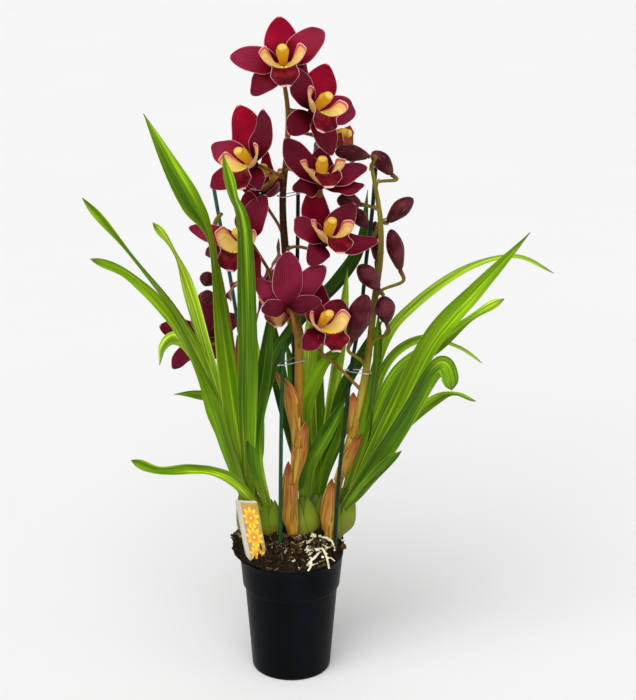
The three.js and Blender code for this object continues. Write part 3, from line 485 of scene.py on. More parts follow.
def root_material():
    m = Material("root", Roughness=0.7, Specular_IOR_Level=0.2)
    stain, green = m.spots(160.0, 0.55, 0.75, 4.0), m.spots(60.0, 0.58, 0.72)
    base = m.cover(m.tint(), (0.42, 0.30, 0.16), stain, 0.5)
    m.bump(m.noise(420.0, 4.0), 0.5, 0.001)
    return m.colour(m.cover(base, (0.36, 0.45, 0.12), green, 0.5))


def stake_material():
    m = Material("stake", Roughness=0.32, Specular_IOR_Level=0.15)
    m.bump(m.lines(55.0, 1.4, over="along"), 0.4, 0.0006)
    return m.colour(m.filter(m.tint(), (0.5, 0.5, 0.5), m.spots(90.0, 0.4, 0.7), 0.4))


def wire_material():
    m = Material("wire", Metallic=1.0, Roughness=0.28)
    return m.colour(m.mix((0.55, 0.56, 0.58), (0.78, 0.79, 0.80), m.noise(700.0)))


# Height and radius of each, as shares of the label's length.
ROSETTES = ((0.835, 0.112), (0.64, 0.116), (0.45, 0.110))
ROSETTE_ACROSS = 0.24
ROSETTE_ASPECT = 0.155  # turns a place across the label into a share of its length
ROSETTE_POINTS = 9.0


def rosette(m, picture, x, y, height, size):
    dx = m.times(m.math("SUBTRACT", x, ROSETTE_ACROSS), ROSETTE_ASPECT)
    dy = m.math("SUBTRACT", y, height)
    far = m.math("SQRT", m.math("ADD", m.times(dx, dx), m.times(dy, dy)))
    turn = m.times(m.math("ARCTAN2", dy, dx), ROSETTE_POINTS)
    reach = m.math("ADD", size * 0.82, m.times(m.math("SINE", turn), size * 0.18))
    ray = m.math("DIVIDE", far, size)
    petal = m.mix((0.80, 0.28, 0.01), (0.95, 0.66, 0.03), m.step(ray, 0.25, 0.8))
    petal = m.mix(petal, (0.95, 0.85, 0.55), m.step(ray, 0.16, 0.08))
    return m.mix(picture, petal, m.step(m.math("SUBTRACT", reach, far), 0.0, 0.008))


def label_material():
    """A printed card: a blank pale strip on the left and a picture of three round rosettes."""
    m = Material("label", Roughness=0.3, Specular_IOR_Level=0.3)
    x, y = m.number("across"), m.number("along")
    picture = m.mix((0.30, 0.15, 0.03), (0.70, 0.44, 0.10), m.noise(90.0))
    for height, size in ROSETTES:
        picture = rosette(m, picture, x, y, height, size)
    strip = m.mix((0.52, 0.48, 0.40), (0.64, 0.59, 0.50), m.noise(60.0))
    card = m.mix(strip, picture, m.step(x, -0.50, -0.42))
    card = m.mix(card, strip, m.step(y, 0.975, 0.985))
    m.bump(m.noise(200.0), 0.05, 0.0004)
    return m.colour(m.mix(card, (0.75, 0.74, 0.72), m.number("back")))


TEPAL_LOOK = tepal_material()
LIP_LOOK = lip_material()
COLUMN_LOOK = column_material()
LEAF_LOOK = leaf_material()
BULB_LOOK = bulb_material()
STEM_LOOK = stem_material()
SHEATH_LOOK = sheath_material()
BUD_LOOK = bud_material()
POT_LOOK = pot_material()
BARK_LOOK = bark_material()
ROOT_LOOK = root_material()
STAKE_LOOK = stake_material()
WIRE_LOOK = wire_material()
LABEL_LOOK = label_material()

# ---------------------------------------------------------------- pot
POT_HEIGHT = 158.0
RIM_RADIUS = 65.0
BASE_RADIUS = 49.4
BAND_LOW = 114.0  # height of the lower edge of the rim band
BAND_LOW_RADIUS = 60.7
# Radius and height, from the middle of the foot over the rim to the inside, under the medium.
POT_PROFILE = [
    (0, 1.0), (40, 1.0), (43, 0.2), (45.5, 0), (47.6, 0.25), (48.8, 1.2), (BASE_RADIUS, 3.4),
    (50.0, 10), (52.6, 45), (55.4, 80), (57.4, 106), (57.8, BAND_LOW - 2.2), (58.0, BAND_LOW - 0.9),
    (58.7, BAND_LOW - 0.3), (59.9, BAND_LOW - 0.1), (60.5, BAND_LOW + 0.4), (BAND_LOW_RADIUS, BAND_LOW + 1.4),
    (62.3, 133), (63.7, 147), (64.3, 153.5), (RIM_RADIUS - 0.1, POT_HEIGHT - 3.4),
    (RIM_RADIUS, POT_HEIGHT - 2), (RIM_RADIUS - 0.1, POT_HEIGHT - 0.7), (64.4, POT_HEIGHT - 0.1),
    (63.7, POT_HEIGHT), (63.1, POT_HEIGHT - 0.3), (62.8, 157), (62.6, 153), (61.6, 144), (60.0, 124),
]
POT_SIDES = 128
POT_BLACK = (0.01, 0.01, 0.012)


def make_pot():
    profile = np.array(POT_PROFILE, float)
    angle = 2 * np.pi * np.arange(POT_SIDES) / POT_SIDES
    ring = np.stack([np.cos(angle), np.sin(angle), np.zeros(POT_SIDES)], axis=-1)
    points = profile[:, :1, None] * ring[None] + np.array([0, 0, 1.0]) * profile[:, 1:, None]
    piece = Piece()
    piece.add(Shape(points.reshape(-1, 3), [grid_faces(len(profile), POT_SIDES, closed=True)]), POT_BLACK)
    piece.build("nursery_pot", [POT_LOOK], "pot", ["pot"])


# ---------------------------------------------------------------- growing medium and its roots
# Radius and height, from the rim to the middle; the first three points are its side.
MOUND = [(64.2, 156.5), (64.8, 160), (64.8, 166), (63.2, 175), (57, 181.5), (42, 185), (22, 187), (0, 187.5)]
MOUND_ROWS, MOUND_SIDES = 46, 160
MOUND_LOW = 156.5
MOUND_EDGE = 63  # the radius where its top turns into its side
MOUND_ROUGHNESS = 1.1
LEFT_BULGE = 8.0  # how far the root ball swells over the rim at the left
LABEL_TURN = math.radians(224)  # where the label stands, seen from above
LABEL_DIP = 17.0
CHUNKS = 760
FIBRES = 260
CRUMBS = 260
THIN_ROOTS = 34
MEDIUM_SHADE = np.array([0.024, 0.016, 0.007])
BARK_SHADES = [(0, (0.014, 0.009, 0.004)), (0.55, (0.056, 0.037, 0.015)), (0.85, (0.18, 0.12, 0.045)),
               (1, (0.38, 0.32, 0.15))]
FIBRE_SHADES = [(0, (0.07, 0.035, 0.018)), (1, (0.30, 0.20, 0.11))]
ROOT_SHADE = (0.80, 0.74, 0.52)
TWIG_SHADE = (0.78, 0.70, 0.48)
THIN_ROOT_SHADES = [(0, (0.55, 0.50, 0.22)), (1, (0.84, 0.80, 0.60))]
CRUMB_SHADES = [(0, (0.30, 0.30, 0.10)), (1, (0.70, 0.66, 0.52))]
PERLITE_WHITE = (0.82, 0.80, 0.76)
PERLITE = [(0, -30, 187), (4, -31, 187), (17, -28, 187), (15, -38, 185), (47, -20, 184), (38, -55, 174),
           (63, -12, 176), (-6, -58, 176), (28, -58, 174), (8, -54, 177), (36, -33, 186)]
ROOTS = [
    [[19, -17, 184], [26, -22, 189], [29, -30, 188], [26, -38, 181]],
    [[33, -22, 183], [42, -28, 187], [50, -33, 184], [53, -40, 175]],
    [[28, -29, 183], [23, -36, 187], [18, -43, 183], [13, -48, 176]],
    [[16, -44, 178], [25, -51, 181], [32, -50, 182], [38, -43, 180]],
    [[29, -38, 182], [38, -47, 181], [43, -55, 173], [46, -61, 161]],
    [[19, -48, 178], [23, -57, 175], [24, -63, 167], [20, -65, 160]],
    [[34, -50, 178], [28, -57, 174], [22, -61, 170], [18, -62, 164]],
    [[-4, -49, 178], [0, -55, 178], [6, -61, 171], [10, -64, 162]],
]


def mound_height(radius):
    radii, heights = zip(*MOUND[:2:-1])
    return np.interp(radius, radii, heights)


def label_dip(angle, radius):
    """How far the medium lies lower between the label and the rim."""
    off = (np.asarray(angle) % (2 * np.pi) - LABEL_TURN) / 0.30
    return LABEL_DIP * np.exp(-(off**4)) * smooth(radius, 57.5, 61)


def bulge(angle, radius):
    return LEFT_BULGE * np.maximum(0, -np.cos(angle)) ** 6 * smooth(radius, 45, 62)


def around(turn, far, height):
    return np.array([far * math.cos(turn), far * math.sin(turn), height])


def scattered(random, reach):
    """A direction and a distance, spread evenly over a disc."""
    return 2 * np.pi * random.random(), reach * math.sqrt(random.random())


def add_mound(bark, random):
    profile = np.array(MOUND, float)
    reach = np.linspace(0, 1, MOUND_ROWS)
    radius, height = (straight(profile[:, k], reach)[:, None] for k in range(2))
    angle = (2 * np.pi * np.arange(MOUND_SIDES) / MOUND_SIDES)[None]
    rough = random.normal(0, MOUND_ROUGHNESS, (MOUND_ROWS, MOUND_SIDES)) * smooth(reach, 0.05, 0.25)[:, None]
    out = radius + bulge(angle, radius) + rough * (radius > 5)
    top = np.maximum(height + rough * 1.1 - label_dip(angle, radius), MOUND_LOW)
    points = np.stack([out * np.cos(angle), out * np.sin(angle), top], axis=-1).reshape(-1, 3)
    shade = MEDIUM_SHADE * (0.7 + 0.6 * random.random((len(points), 1)))
    bark.add(Shape(points, [grid_faces(MOUND_ROWS, MOUND_SIDES, closed=True)]), shade)


def add_chunks(bark, random):
    for _ in range(CHUNKS):
        turn, far = scattered(random, 66)
        size = 1.6 + 3.6 * random.random() ** 2
        level = mound_height(far) if far < MOUND_EDGE else 160 + 14 * random.random()
        if label_dip(turn, far) > 2:
            continue
        far = min(far, MOUND_EDGE + 0.5) + bulge(turn, far)
        axes = unit(random.normal(size=(3, 3)))
        chunk = ball((0, 0, 0), (1.6 * size, size, 0.55 * size), sides=6)
        worn = chunk.points * (0.75 + 0.5 * random.random((len(chunk.points), 1)))
        chunk.points = worn @ axes + around(turn, far, level + 0.3 * size)
        bark.add(chunk, blended(BARK_SHADES, random.random()))


def add_fibres(bark, random):
    for _ in range(FIBRES):
        turn, far = scattered(random, 61)
        start = around(turn, far, mound_height(far))
        steps = random.normal(0, 3.2, (3, 3))
        path = np.vstack([start, start + np.cumsum(steps, axis=0)])
        path[:, 2] = mound_height(np.hypot(path[:, 0], path[:, 1])) + 0.8 + 1.6 * random.random(4)
        hair = tube(path, 0.22 + 0.2 * random.random(), np.linspace(0, 1, 7), sides=5)
        bark.add(hair, blended(FIBRE_SHADES, random.random()))


def add_thick_roots(roots, random):
    for path in ROOTS:
        rows = np.linspace(0, 1, 26)
        knots = random.normal(0, 0.06, 26)
        roots.add(tube(path, (1.75 - 0.6 * rows) * (1 + knots), rows, sides=12), ROOT_SHADE)
        for _ in range(3):
            place = point_on(path, 0.25 + 0.6 * random.random())
            twig = [place, *(place + random.normal(0, step, 3) * (1, 1, 0.3) for step in (2.5, 5))]
            roots.add(tube(twig, np.linspace(1.1, 0.7, 8), np.linspace(0, 1, 8), sides=8), TWIG_SHADE)


def add_thin_roots(roots, random):
    reach, rows = 60, 16
    for _ in range(THIN_ROOTS):
        x, y = random.uniform(6, 50), random.uniform(-58, -14)
        if math.hypot(x, y) > reach + 1:
            continue
        path = np.array([x, y, 0]) + np.cumsum(random.normal(0, 4.5, (4, 3)), axis=0)
        far = np.hypot(path[:, 0], path[:, 1])
        path = path * np.minimum(1, reach / far)[:, None]
        path[:, 2] = mound_height(np.minimum(far, reach)) + (-0.8, 1.4, 1.2, -1.0)
        size = random.uniform(0.7, 1.5) * np.linspace(1.1, 0.7, rows)
        root = tube(path, size * (1 + random.normal(0, 0.07, rows)), np.linspace(0, 1, rows), sides=9)
        roots.add(root, blended(THIN_ROOT_SHADES, random.random()))


def add_perlite(roots, random):
    for place in PERLITE:
        lump = ball(place, (1.9, 1.6, 1.4), sides=8)
        lump.points = lump.points + random.normal(0, 0.22, lump.points.shape)
        roots.add(lump, PERLITE_WHITE)


def add_crumbs(roots, random):
    for _ in range(CRUMBS):
        turn, far = scattered(random, 60)
        crumb = ball(around(turn, far, mound_height(far) + 1.6), random.uniform(0.4, 0.95, 3), sides=6)
        roots.add(crumb, blended(CRUMB_SHADES, random.random()))


def make_medium():
    random = np.random.default_rng(20)
    bark, roots = Piece(), Piece()
    for add in (add_mound, add_chunks, add_fibres):
        add(bark, random)
    for add in (add_thick_roots, add_thin_roots, add_perlite, add_crumbs):
        add(roots, random)
    bark.build("bark_medium", [BARK_LOOK], "growing_medium", ["growing_medium"])
    roots.build("surface_roots", [ROOT_LOOK], "growing_medium")


# ---------------------------------------------------------------- leaves
FRONT = (0, -1, 0.25)
FRONT_LEFT = (-0.5, -1, 0.4)
FRONT_RIGHT = (0.5, -1, 0.4)
UP_LEFT = (-0.5, -0.6, 0.8)
UP_RIGHT = (0.5, -0.6, 0.8)
UP = (0, -0.35, 1)
EDGE_LEFT = (0.62, -0.25, 0.75)

# For each growth: its bulbs, and its leaves as (spine, width, directions that the face turns through, half
# the angle of the section in degrees, or 0 without a crease, brightness, which paints light and shade:
# lighter for a lit leaf, darker for one in shade).
GROWTHS = {
    "growth_left": {
        "bulbs": [
            dict(spine=[[-40, -2, 168], [-48, -2, 200], [-57, -2, 246]], radii=[8, 12, 12, 8], flatness=0.75),
            dict(spine=[[-31, -12, 168], [-30, -12, 196], [-26, -12, 232]], radii=[8, 11.5, 9.5, 4],
                 flatness=0.9),
        ],
        "leaves": [
            ([[-53, -5, 212], [-68, -28, 330], [-81, -56, 460], [-93, -82, 582], [-112, -90, 626],
              [-134, -96, 672], [-161, -104, 729]],
             27, [FRONT, FRONT_RIGHT, (1, -0.12, 0.1), FRONT, FRONT_LEFT], 16, 0.62),
            ([[-51, -6, 214], [-52, -36, 340], [-51, -66, 456], [-54, -92, 590], [-65, -100, 638],
              [-75, -106, 686]], 24, [FRONT, FRONT, FRONT_RIGHT, (1, -0.3, 0.2), FRONT_LEFT], 16, 0.55),
            ([[-55, -1, 214], [-72, -2, 285], [-92, 2, 380], [-121, 8, 491], [-142, 14, 545],
              [-164, 20, 574]], 17, [FRONT, FRONT_LEFT, FRONT_LEFT, EDGE_LEFT, UP_LEFT], 18, 0.85),
            ([[-53, -4, 215], [-74, -22, 305], [-96, -26, 385], [-134, -32, 474], [-186, -40, 551],
              [-238, -48, 621]], 20, [FRONT, UP_LEFT, UP_LEFT, EDGE_LEFT, EDGE_LEFT, UP_LEFT], 18, 0.8),
            ([[-52, -7, 215], [-76, -34, 305], [-104, -50, 398], [-140, -64, 482], [-185, -78, 537],
              [-226, -94, 562]], 20, [FRONT, UP_LEFT, EDGE_LEFT, UP_LEFT, UP_LEFT], 18, 0.6),
            ([[-50, 4, 225], [-86, 26, 335], [-118, 38, 403], [-142, 46, 421], [-158, 50, 408],
              [-163, 54, 383]], 17, [FRONT, FRONT_LEFT, UP_LEFT], 0, 0.9),
            ([[-50, 3, 222], [-66, 16, 300], [-92, 32, 342], [-118, 44, 348], [-146, 58, 343]],
             15, [FRONT, UP_LEFT, UP], 0, 0.6),
            ([[-34, -14, 212], [-66, -48, 268], [-91, -62, 288], [-121, -74, 297], [-156, -86, 301],
              [-187, -98, 319]], 16, [FRONT, (0.2, -0.3, 1), FRONT], 18, 0.7),
            ([[-27, -14, 215], [-44, -27, 290], [-42, -29, 345], [-32, -26, 410], [-23, -18, 490]],
             20, [FRONT], 18, 0.25),
            ([[-50, 0, 222], [-40, 22, 330], [-20, 40, 395], [12, 56, 442], [58, 72, 487], [85, 84, 530],
              [93, 92, 596]], 20, [FRONT, UP_LEFT, FRONT], 18, 0.2),
            ([[-50, 4, 220], [-46, 34, 290], [-46, 52, 345], [-42, 66, 412]], 25, [FRONT], 14, 0.9),
        ],
    },
    "growth_centre": {
        "bulbs": [
            dict(spine=[[15, -12, 168], [15, -12, 200], [13, -12, 236]], radii=[8, 12, 10, 5], flatness=0.8),
            dict(spine=[[24, 0, 168], [26, 0, 200], [31, 4, 232]], radii=[8, 12, 10, 5], flatness=0.8),
        ],
        "leaves": [
            ([[14, -12, 212], [15, -3, 290], [16, -4, 345], [26, -9, 380], [41, -14, 412], [58, -18, 423]],
             19, [FRONT, FRONT, UP_LEFT], 16, 0.55),
            ([[16, -10, 212], [20, -6, 269], [42, -6, 316], [66, 0, 360]], 18, [FRONT], 18, 0.3),
            ([[32, 7, 208], [40, 8, 255], [62, 10, 313], [68, 12, 352]], 14, [FRONT], 20, 0.5),
            ([[31, 9, 210], [22, 26, 330], [24, 38, 425], [38, 46, 516]], 18, [FRONT], 16, 0.85),
            ([[33, 10, 210], [48, 24, 330], [60, 34, 422], [68, 42, 513]], 15, [FRONT], 16, 0.8),
            ([[30, 10, 212], [16, 28, 315], [-6, 32, 420]], 20, [FRONT], 16, 0.25),
            ([[29, 8, 212], [33, 30, 300], [30, 42, 395], [38, 44, 450]], 19, [FRONT], 0, 0.6),
            ([[30, 8, 212], [2, 40, 300], [-18, 60, 380], [-26, 72, 452]], 21, [FRONT], 0, 0.2),
            ([[31, 8, 212], [48, 18, 290], [62, 20, 360], [92, 18, 420], [110, 16, 455]],
             15, [FRONT], 0, 0.25),
            ([[30, 8, 212], [20, 48, 330], [4, 74, 430], [-14, 90, 500]], 18, [FRONT], 0, 0.7),
        ],
    },
    "growth_right": {
        "bulbs": [
            dict(spine=[[50, -4, 168], [57, -5, 200], [66, -6, 244]], radii=[8, 12, 12, 8], flatness=0.8),
        ],
        "leaves": [
            ([[62, -3, 215], [88, 3, 284], [99, 9, 349], [105, 13, 416], [104, 14, 463]],
             14, [FRONT, (-1, -0.4, 0), FRONT], 18, 0.35),
            ([[62, 0, 218], [84, 20, 310], [113, 34, 418], [150, 46, 464], [211, 58, 505], [272, 68, 519],
              [322, 76, 495]], 12, [FRONT, UP_RIGHT, UP], 0, 0.8),
            ([[63, -8, 212], [91, -24, 271], [122, -38, 350], [163, -54, 452], [212, -66, 517],
              [269, -80, 589]], 25, [FRONT, FRONT, FRONT_RIGHT], 18, 0.6),
            ([[64, -4, 215], [96, 4, 312], [128, 14, 384], [176, 24, 419], [220, 32, 453], [258, 38, 474]],
             20, [FRONT, UP_RIGHT, UP_RIGHT], 18, 0.7),
            ([[60, 4, 218], [88, 30, 300], [117, 48, 386], [160, 66, 413], [205, 78, 400], [240, 90, 373]],
             11, [FRONT, UP_RIGHT, UP], 0, 0.85),
            ([[62, -10, 214], [82, -40, 260], [111, -60, 316], [140, -78, 376], [162, -88, 424],
              [177, -95, 434], [184, -103, 408]], 24, [FRONT, FRONT_RIGHT, FRONT_RIGHT], 16, 0.5),
            ([[62, 2, 214], [98, 34, 262], [140, 60, 300], [180, 76, 328], [206, 84, 334], [234, 92, 321]],
             15, [FRONT, UP_RIGHT, UP], 0, 0.8),
            ([[63, -9, 212], [84, -52, 262], [112, -68, 303], [130, -78, 323]],
             14, [FRONT, FRONT_RIGHT, FRONT_RIGHT], 18, 0.45),
            ([[64, -7, 214], [104, -16, 318], [140, -22, 400], [190, -28, 470], [228, -32, 520]],
             14, [FRONT, FRONT, FRONT_RIGHT], 16, 0.5),
        ],
    },
}
# How far some leaves narrow before their tips, by growth and number.
PINCHES = {
    ("growth_left", 2): 0.55, ("growth_left", 3): 0.6, ("growth_left", 4): 0.45, ("growth_left", 7): 0.4,
    ("growth_right", 1): 0.4, ("growth_right", 3): 0.6, ("growth_right", 4): 0.4, ("growth_right", 5): 0.05,
    ("growth_right", 6): 0.55, ("growth_centre", 0): 0.2,
}
LEAF_THICKNESS = 0.9
LEAF_ROWS = np.linspace(0, 1, 64)
LEAF_COLUMNS = 10
FLAT_LEAF = 7  # half the angle of the section of a leaf without a crease, in degrees
CREASE = 0.45
# Greens from a leaf in shade to a lit one, picked by each leaf's brightness: painted light and shade.
LEAF_SHADES = [(0, (0.014, 0.050, 0.001)), (0.35, (0.055, 0.140, 0.001)), (0.7, (0.190, 0.350, 0.003)),
               (1, (0.420, 0.620, 0.030))]
LEAF_BASE_SHADE = (0.22, 0.28, 0.02)
LEAF_TIP_SHADE = (0.070, 0.085, 0.012)
PAINTED_HALF_SHADE = 0.44  # painted shade: one half of a leaf is lighter than the other by this share

BULB_ROWS = 1 - np.linspace(1, 0, 36) ** 1.6
BULB_SIDES = 36
BULB_RIBS = 9
BULB_DOME = 0.12  # the share of a bulb that rounds off at its top
BULB_SHADES = [(0, (0.12, 0.08, 0.02)), (0.3, (0.14, 0.16, 0.015)), (1, (0.07, 0.14, 0.006))]
BASE_SHEATHS = (((-0.8, -1, 0), 0.06, 0.95), ((1, -0.7, 0), 0.12, 1.0))  # side, start and end on the bulb
BASE_SHADES = [(0, (0.07, 0.045, 0.012)), (0.25, (0.15, 0.17, 0.010)), (0.6, (0.17, 0.25, 0.008)),
               (1, (0.09, 0.17, 0.004))]


def leaf_width(t, pinch):
    """A leaf's share of its full width; a pinched one is narrow before a small rounded end."""
    base = 0.55 + 0.45 * smooth(t, 0, 0.3)
    start = 0.6 if pinch == 0 else 0.9 - 0.2 * pinch
    power = 2.2 if pinch == 0 else 3.5
    tip = np.where(t < start, 1.0, 1 - np.maximum(0, (t - start) / (1 - start)) ** power)
    waist = 1 - pinch * np.exp(-(((t - 0.80) / 0.13) ** 2))
    return base * np.maximum(0.035, tip) * waist


def add_bulb(piece, bulb):
    def ribs(t, angle):
        return 1 + 0.03 * np.cos(BULB_RIBS * angle + 2 * t)

    dome = np.sqrt(1 - np.clip((BULB_ROWS - 1) / BULB_DOME + 1, 0, 0.995) ** 2)
    radius = straight(bulb["radii"], BULB_ROWS) * dome
    body = tube(bulb["spine"], radius, BULB_ROWS, BULB_SIDES, bulb["flatness"], relief=ribs)
    piece.add(body, blended(BULB_SHADES, body.along), slot=1)
    for side, start, end in BASE_SHEATHS:
        add_sheath(piece, bulb, start, end, side, 1.0, 25, BASE_SHADES, taper=1.3)


def add_leaf(piece, random, leaf, pinch):
    spine, width, faces_to, fold, painted_brightness = leaf
    u = np.linspace(-1, 1, LEAF_COLUMNS + 1)
    rows = LEAF_ROWS[:, None]
    crease = -CREASE * np.exp(-((u / 0.10) ** 2)) if fold else np.zeros_like(u)
    sway = 0.02 * width * np.sin(2 * np.pi * (3.1 * rows + random.random())) * u**2
    blade = sheet(spine, width * leaf_width(LEAF_ROWS, pinch), facing(faces_to, LEAF_ROWS),
                  math.radians(max(fold, FLAT_LEAF)), LEAF_ROWS, LEAF_COLUMNS, LEAF_THICKNESS,
                  rise=crease * smooth(rows, 0, 0.1) + sway)
    t = blade.along
    half_shade_contrast = PAINTED_HALF_SHADE * random.choice([-1.0, 1.0])
    shade = blended(LEAF_SHADES, np.clip(painted_brightness + 0.12 * np.sin(5 * t + 6 * random.random()), 0, 1))
    # Painted shade: one half of the blade is drawn darker and the other lighter, as light falls across the
    # fold.
    half = 1 + half_shade_contrast * (smooth(blade.across, -0.15, 0.15) - 0.5)
    shade = shade * ((1 + 0.25 * smooth(t, 0.6, 1)) * half)[:, None]
    shade = covered(shade, LEAF_BASE_SHADE, 0.75 * (1 - smooth(t, 0.02, 0.22)))
    shade = covered(shade, LEAF_TIP_SHADE, 0.7 * smooth(t, 0.93, 1.0))
    piece.add(blade, shade, mark=random.random())


def make_growth(name, growth):
    piece = Piece()
    random = np.random.default_rng(len(name) * 7)
    for bulb in growth["bulbs"]:
        add_bulb(piece, bulb)
    for number, leaf in enumerate(growth["leaves"]):
        add_leaf(piece, random, leaf, PINCHES.get((name, number), 0))
    piece.build(name + "_leaves", [LEAF_LOOK, BULB_LOOK], "leaf", [name])


# ---------------------------------------------------------------- blooms
CENTRE, RIGHT, LEFT = "stem_centre", "stem_right", "stem_left"
# The tepals: angle seen from the front, length, width, height on the way and at the tip, height of the
# root, half the angle of the section, how dusty the colour is, and a brightness factor that paints light
# and shade on the tepal.
PETAL = dict(length=60, width=31, rise=6, tip=4, base=1.8, arc=10, dusty=0.8, painted_light=1)
SEPAL = dict(length=54, width=28, rise=1, tip=-4, base=-1.2, arc=12, dusty=0.5, painted_light=1)
TEPALS = {
    "dorsal": dict(angle=90, length=60, width=33, rise=3, tip=10, base=-1.2, arc=12, dusty=0.1, painted_light=1),
    "petal_right": dict(angle=22, **PETAL),
    "petal_left": dict(angle=158, **PETAL),
    "sepal_right": dict(angle=-42, **SEPAL),
    "sepal_left": dict(angle=222, **SEPAL),
}
# Each bloom: its stem, the place of its stalk on it and the stalk's way, its middle, its azimuth, elevation
# and lean in degrees, the tint of its lip, which paints shade on it, and where every tepal or one of them
# isn't as above.
BLOOMS = {
    "a1": dict(
        stem=CENTRE, joint=1, at=(-9, -46, 771), turn=(0, 27, -5),
        dorsal=dict(length=54, width=38),
        petal_right=dict(painted_light=0.95, angle=36, width=34),
        petal_left=dict(angle=166, width=32),
        sepal_left=dict(painted_light=0.45, angle=214, length=46, tip=-14),
        sepal_right=dict(painted_light=0.4, angle=-30, length=32, tip=-26)),
    "a2": dict(
        stem=CENTRE, joint=0.9, at=(23, -52, 721), turn=(30, 24, 30),
        dorsal=dict(painted_light=1.1, length=58, width=40, tip=6),
        petal_left=dict(painted_light=0.42, angle=144, length=54, tip=16),
        petal_right=dict(painted_light=0.75, width=34, length=54),
        sepal_left=dict(painted_light=0.35, angle=240, length=44, tip=4),
        sepal_right=dict(painted_light=0.45)),
    # a3 stands behind the stem: its darker lip tint and tepals are painted shade.
    "a3": dict(
        stem=CENTRE, joint=0.84, at=(34, 50, 671), turn=(75, -8, 0),
        lip=(0.40, 0.10, 0.16), every=dict(painted_light=0.5)),
    "a4": dict(
        stem=CENTRE, joint=0.76, at=(33, -52, 636), turn=(10, 54, 0),
        dorsal=dict(painted_light=0.45, angle=82, length=46, tip=14),
        petal_left=dict(painted_light=0.5, angle=122, length=66, width=36, tip=20),
        petal_right=dict(painted_light=0.55, angle=20, length=60, tip=6),
        sepal_left=dict(painted_light=0.3, angle=190, length=34, tip=2),
        sepal_right=dict(painted_light=0.5, angle=-6, length=50, width=22, tip=4)),
    "a5": dict(
        stem=CENTRE, joint=0.6, at=(38, -50, 568), turn=(24, 44, 8),
        dorsal=dict(painted_light=0.95, angle=96, length=68, width=36, tip=20),
        petal_right=dict(painted_light=0.6, angle=48, length=58, tip=18),
        petal_left=dict(painted_light=0.55, angle=148, length=44, tip=14),
        sepal_right=dict(painted_light=0.5, angle=0, length=64, width=28, tip=8),
        sepal_left=dict(painted_light=0.35, angle=230, length=28, tip=-14)),
    "a6": dict(
        stem=CENTRE, joint=0.36, via=[(9, -56, 458), (4, -80, 474)], at=(-4, -68, 494), turn=(196, 2, 0),
        dorsal=dict(length=70, tip=2, width=36),
        petal_right=dict(painted_light=0.9, angle=44, length=50, width=24, tip=16),
        petal_left=dict(painted_light=1.05, angle=134, length=66, width=32),
        sepal_right=dict(painted_light=0.6, angle=10, length=34, width=22, tip=-6),
        sepal_left=dict(painted_light=0.6, angle=168, length=40, width=22)),
    "a7": dict(
        stem=CENTRE, joint=0.74, at=(-42, -40, 658), turn=(-30, 20, -22),
        dorsal=dict(painted_light=1.15, length=68, width=46, tip=14),
        petal_right=dict(painted_light=0.42, angle=54, length=62, width=28, tip=26),
        petal_left=dict(painted_light=0.85, angle=144, length=60),
        sepal_left=dict(painted_light=0.8, angle=188, length=64),
        sepal_right=dict(painted_light=0.45, angle=-92, length=30, width=22)),
    "a8": dict(
        stem=CENTRE, joint=0.62, at=(-32, 38, 604), turn=(-12, 62, 0),
        every=dict(length=34, width=22, rise=14, tip=40)),
    "c1": dict(
        stem=CENTRE, joint=0.44, at=(-52, -30, 563), turn=(-22, 18, 0),
        dorsal=dict(painted_light=0.6),
        petal_right=dict(painted_light=0.65, angle=72),
        petal_left=dict(painted_light=0.7, angle=172, length=74, width=22),
        sepal_left=dict(painted_light=0.5, angle=198, length=60, width=20, tip=-16),
        sepal_right=dict(painted_light=0.7, angle=-70)),
    "c2": dict(stem=CENTRE, joint=0.38, at=(-26, 16, 496), turn=(-100, 20, 0)),
    "c4": dict(stem=LEFT, joint=0.38, at=(-110, 84, 408), turn=(200, 10, 0)),
    "b8": dict(
        stem=RIGHT, joint=0.39, via=[(57, -27, 408), (26, -22, 436)], at=(31, -42, 464), turn=(28, 26, 6),
        dorsal=dict(painted_light=0.45, tip=16, length=50, width=36),
        petal_right=dict(painted_light=0.5, angle=36, length=46),
        petal_left=dict(painted_light=0.5, angle=110, length=36, width=24, tip=-6),
        sepal_right=dict(painted_light=0.45, length=34),
        sepal_left=dict(painted_light=0.5, angle=236, length=30, width=24, tip=-10)),
}
TEPAL_START = 2.6  # how far from the middle a tepal begins
TEPAL_ROWS = 1 - (1 - np.linspace(0, 1, 30)) ** 1.25
TEPAL_COLUMNS = 16
TEPAL_THICKNESS = 0.8
TEPAL_WAVE = 2.1
TEPAL_CURL = 3.5  # the most that a side of a tepal curls up or down
TEPAL_KEEL = 0.7
HUB_RADII = (4.9, 4.9, 3.3)
HUB_BACK = 3.0  # how far behind the middle of a bloom its stalk ends
CRIMSON = np.array([0.31, 0.0005, 0.020])
DEEP = np.array([0.040, 0.0003, 0.002])
DUSTY = np.array([0.30, 0.016, 0.052])
MAUVE = np.array([0.20, 0.010, 0.034])

LIP_SPINE = [[0, -0.5, 4.6], [0, -5, 10], [0, -9, 19], [0, -12, 29], [0, -15, 37], [0, -25, 42], [0, -35, 37]]
LIP_WIDTHS = [4, 34, 72, 70, 30, 31, 9]
LIP_ARCS = [50, 88, 112, 74, 36, -8, -25]
LIP_ROWS = np.linspace(0, 1, 60)
LIP_COLUMNS = 32
LIP_THICKNESS = 0.8
LIP_RIDGE = 2.4
COLUMN_SPINE = [[0, 0.5, 3.4], [0, 0.6, 7], [0, 5, 17], [0, 9, 26], [0, 10, 34]]
COLUMN_RADII = [3.2, 4.2, 6.2, 7.4, 5.6]
COLUMN_ROWS = np.linspace(0, 1, 24)
COLUMN_SHADES = [(0, (0.30, 0.07, 0.02)), (0.35, (0.52, 0.25, 0.03)), (0.65, (0.68, 0.38, 0.015)),
                 (0.9, (0.72, 0.44, 0.02)), (1, (0.50, 0.22, 0.02))]
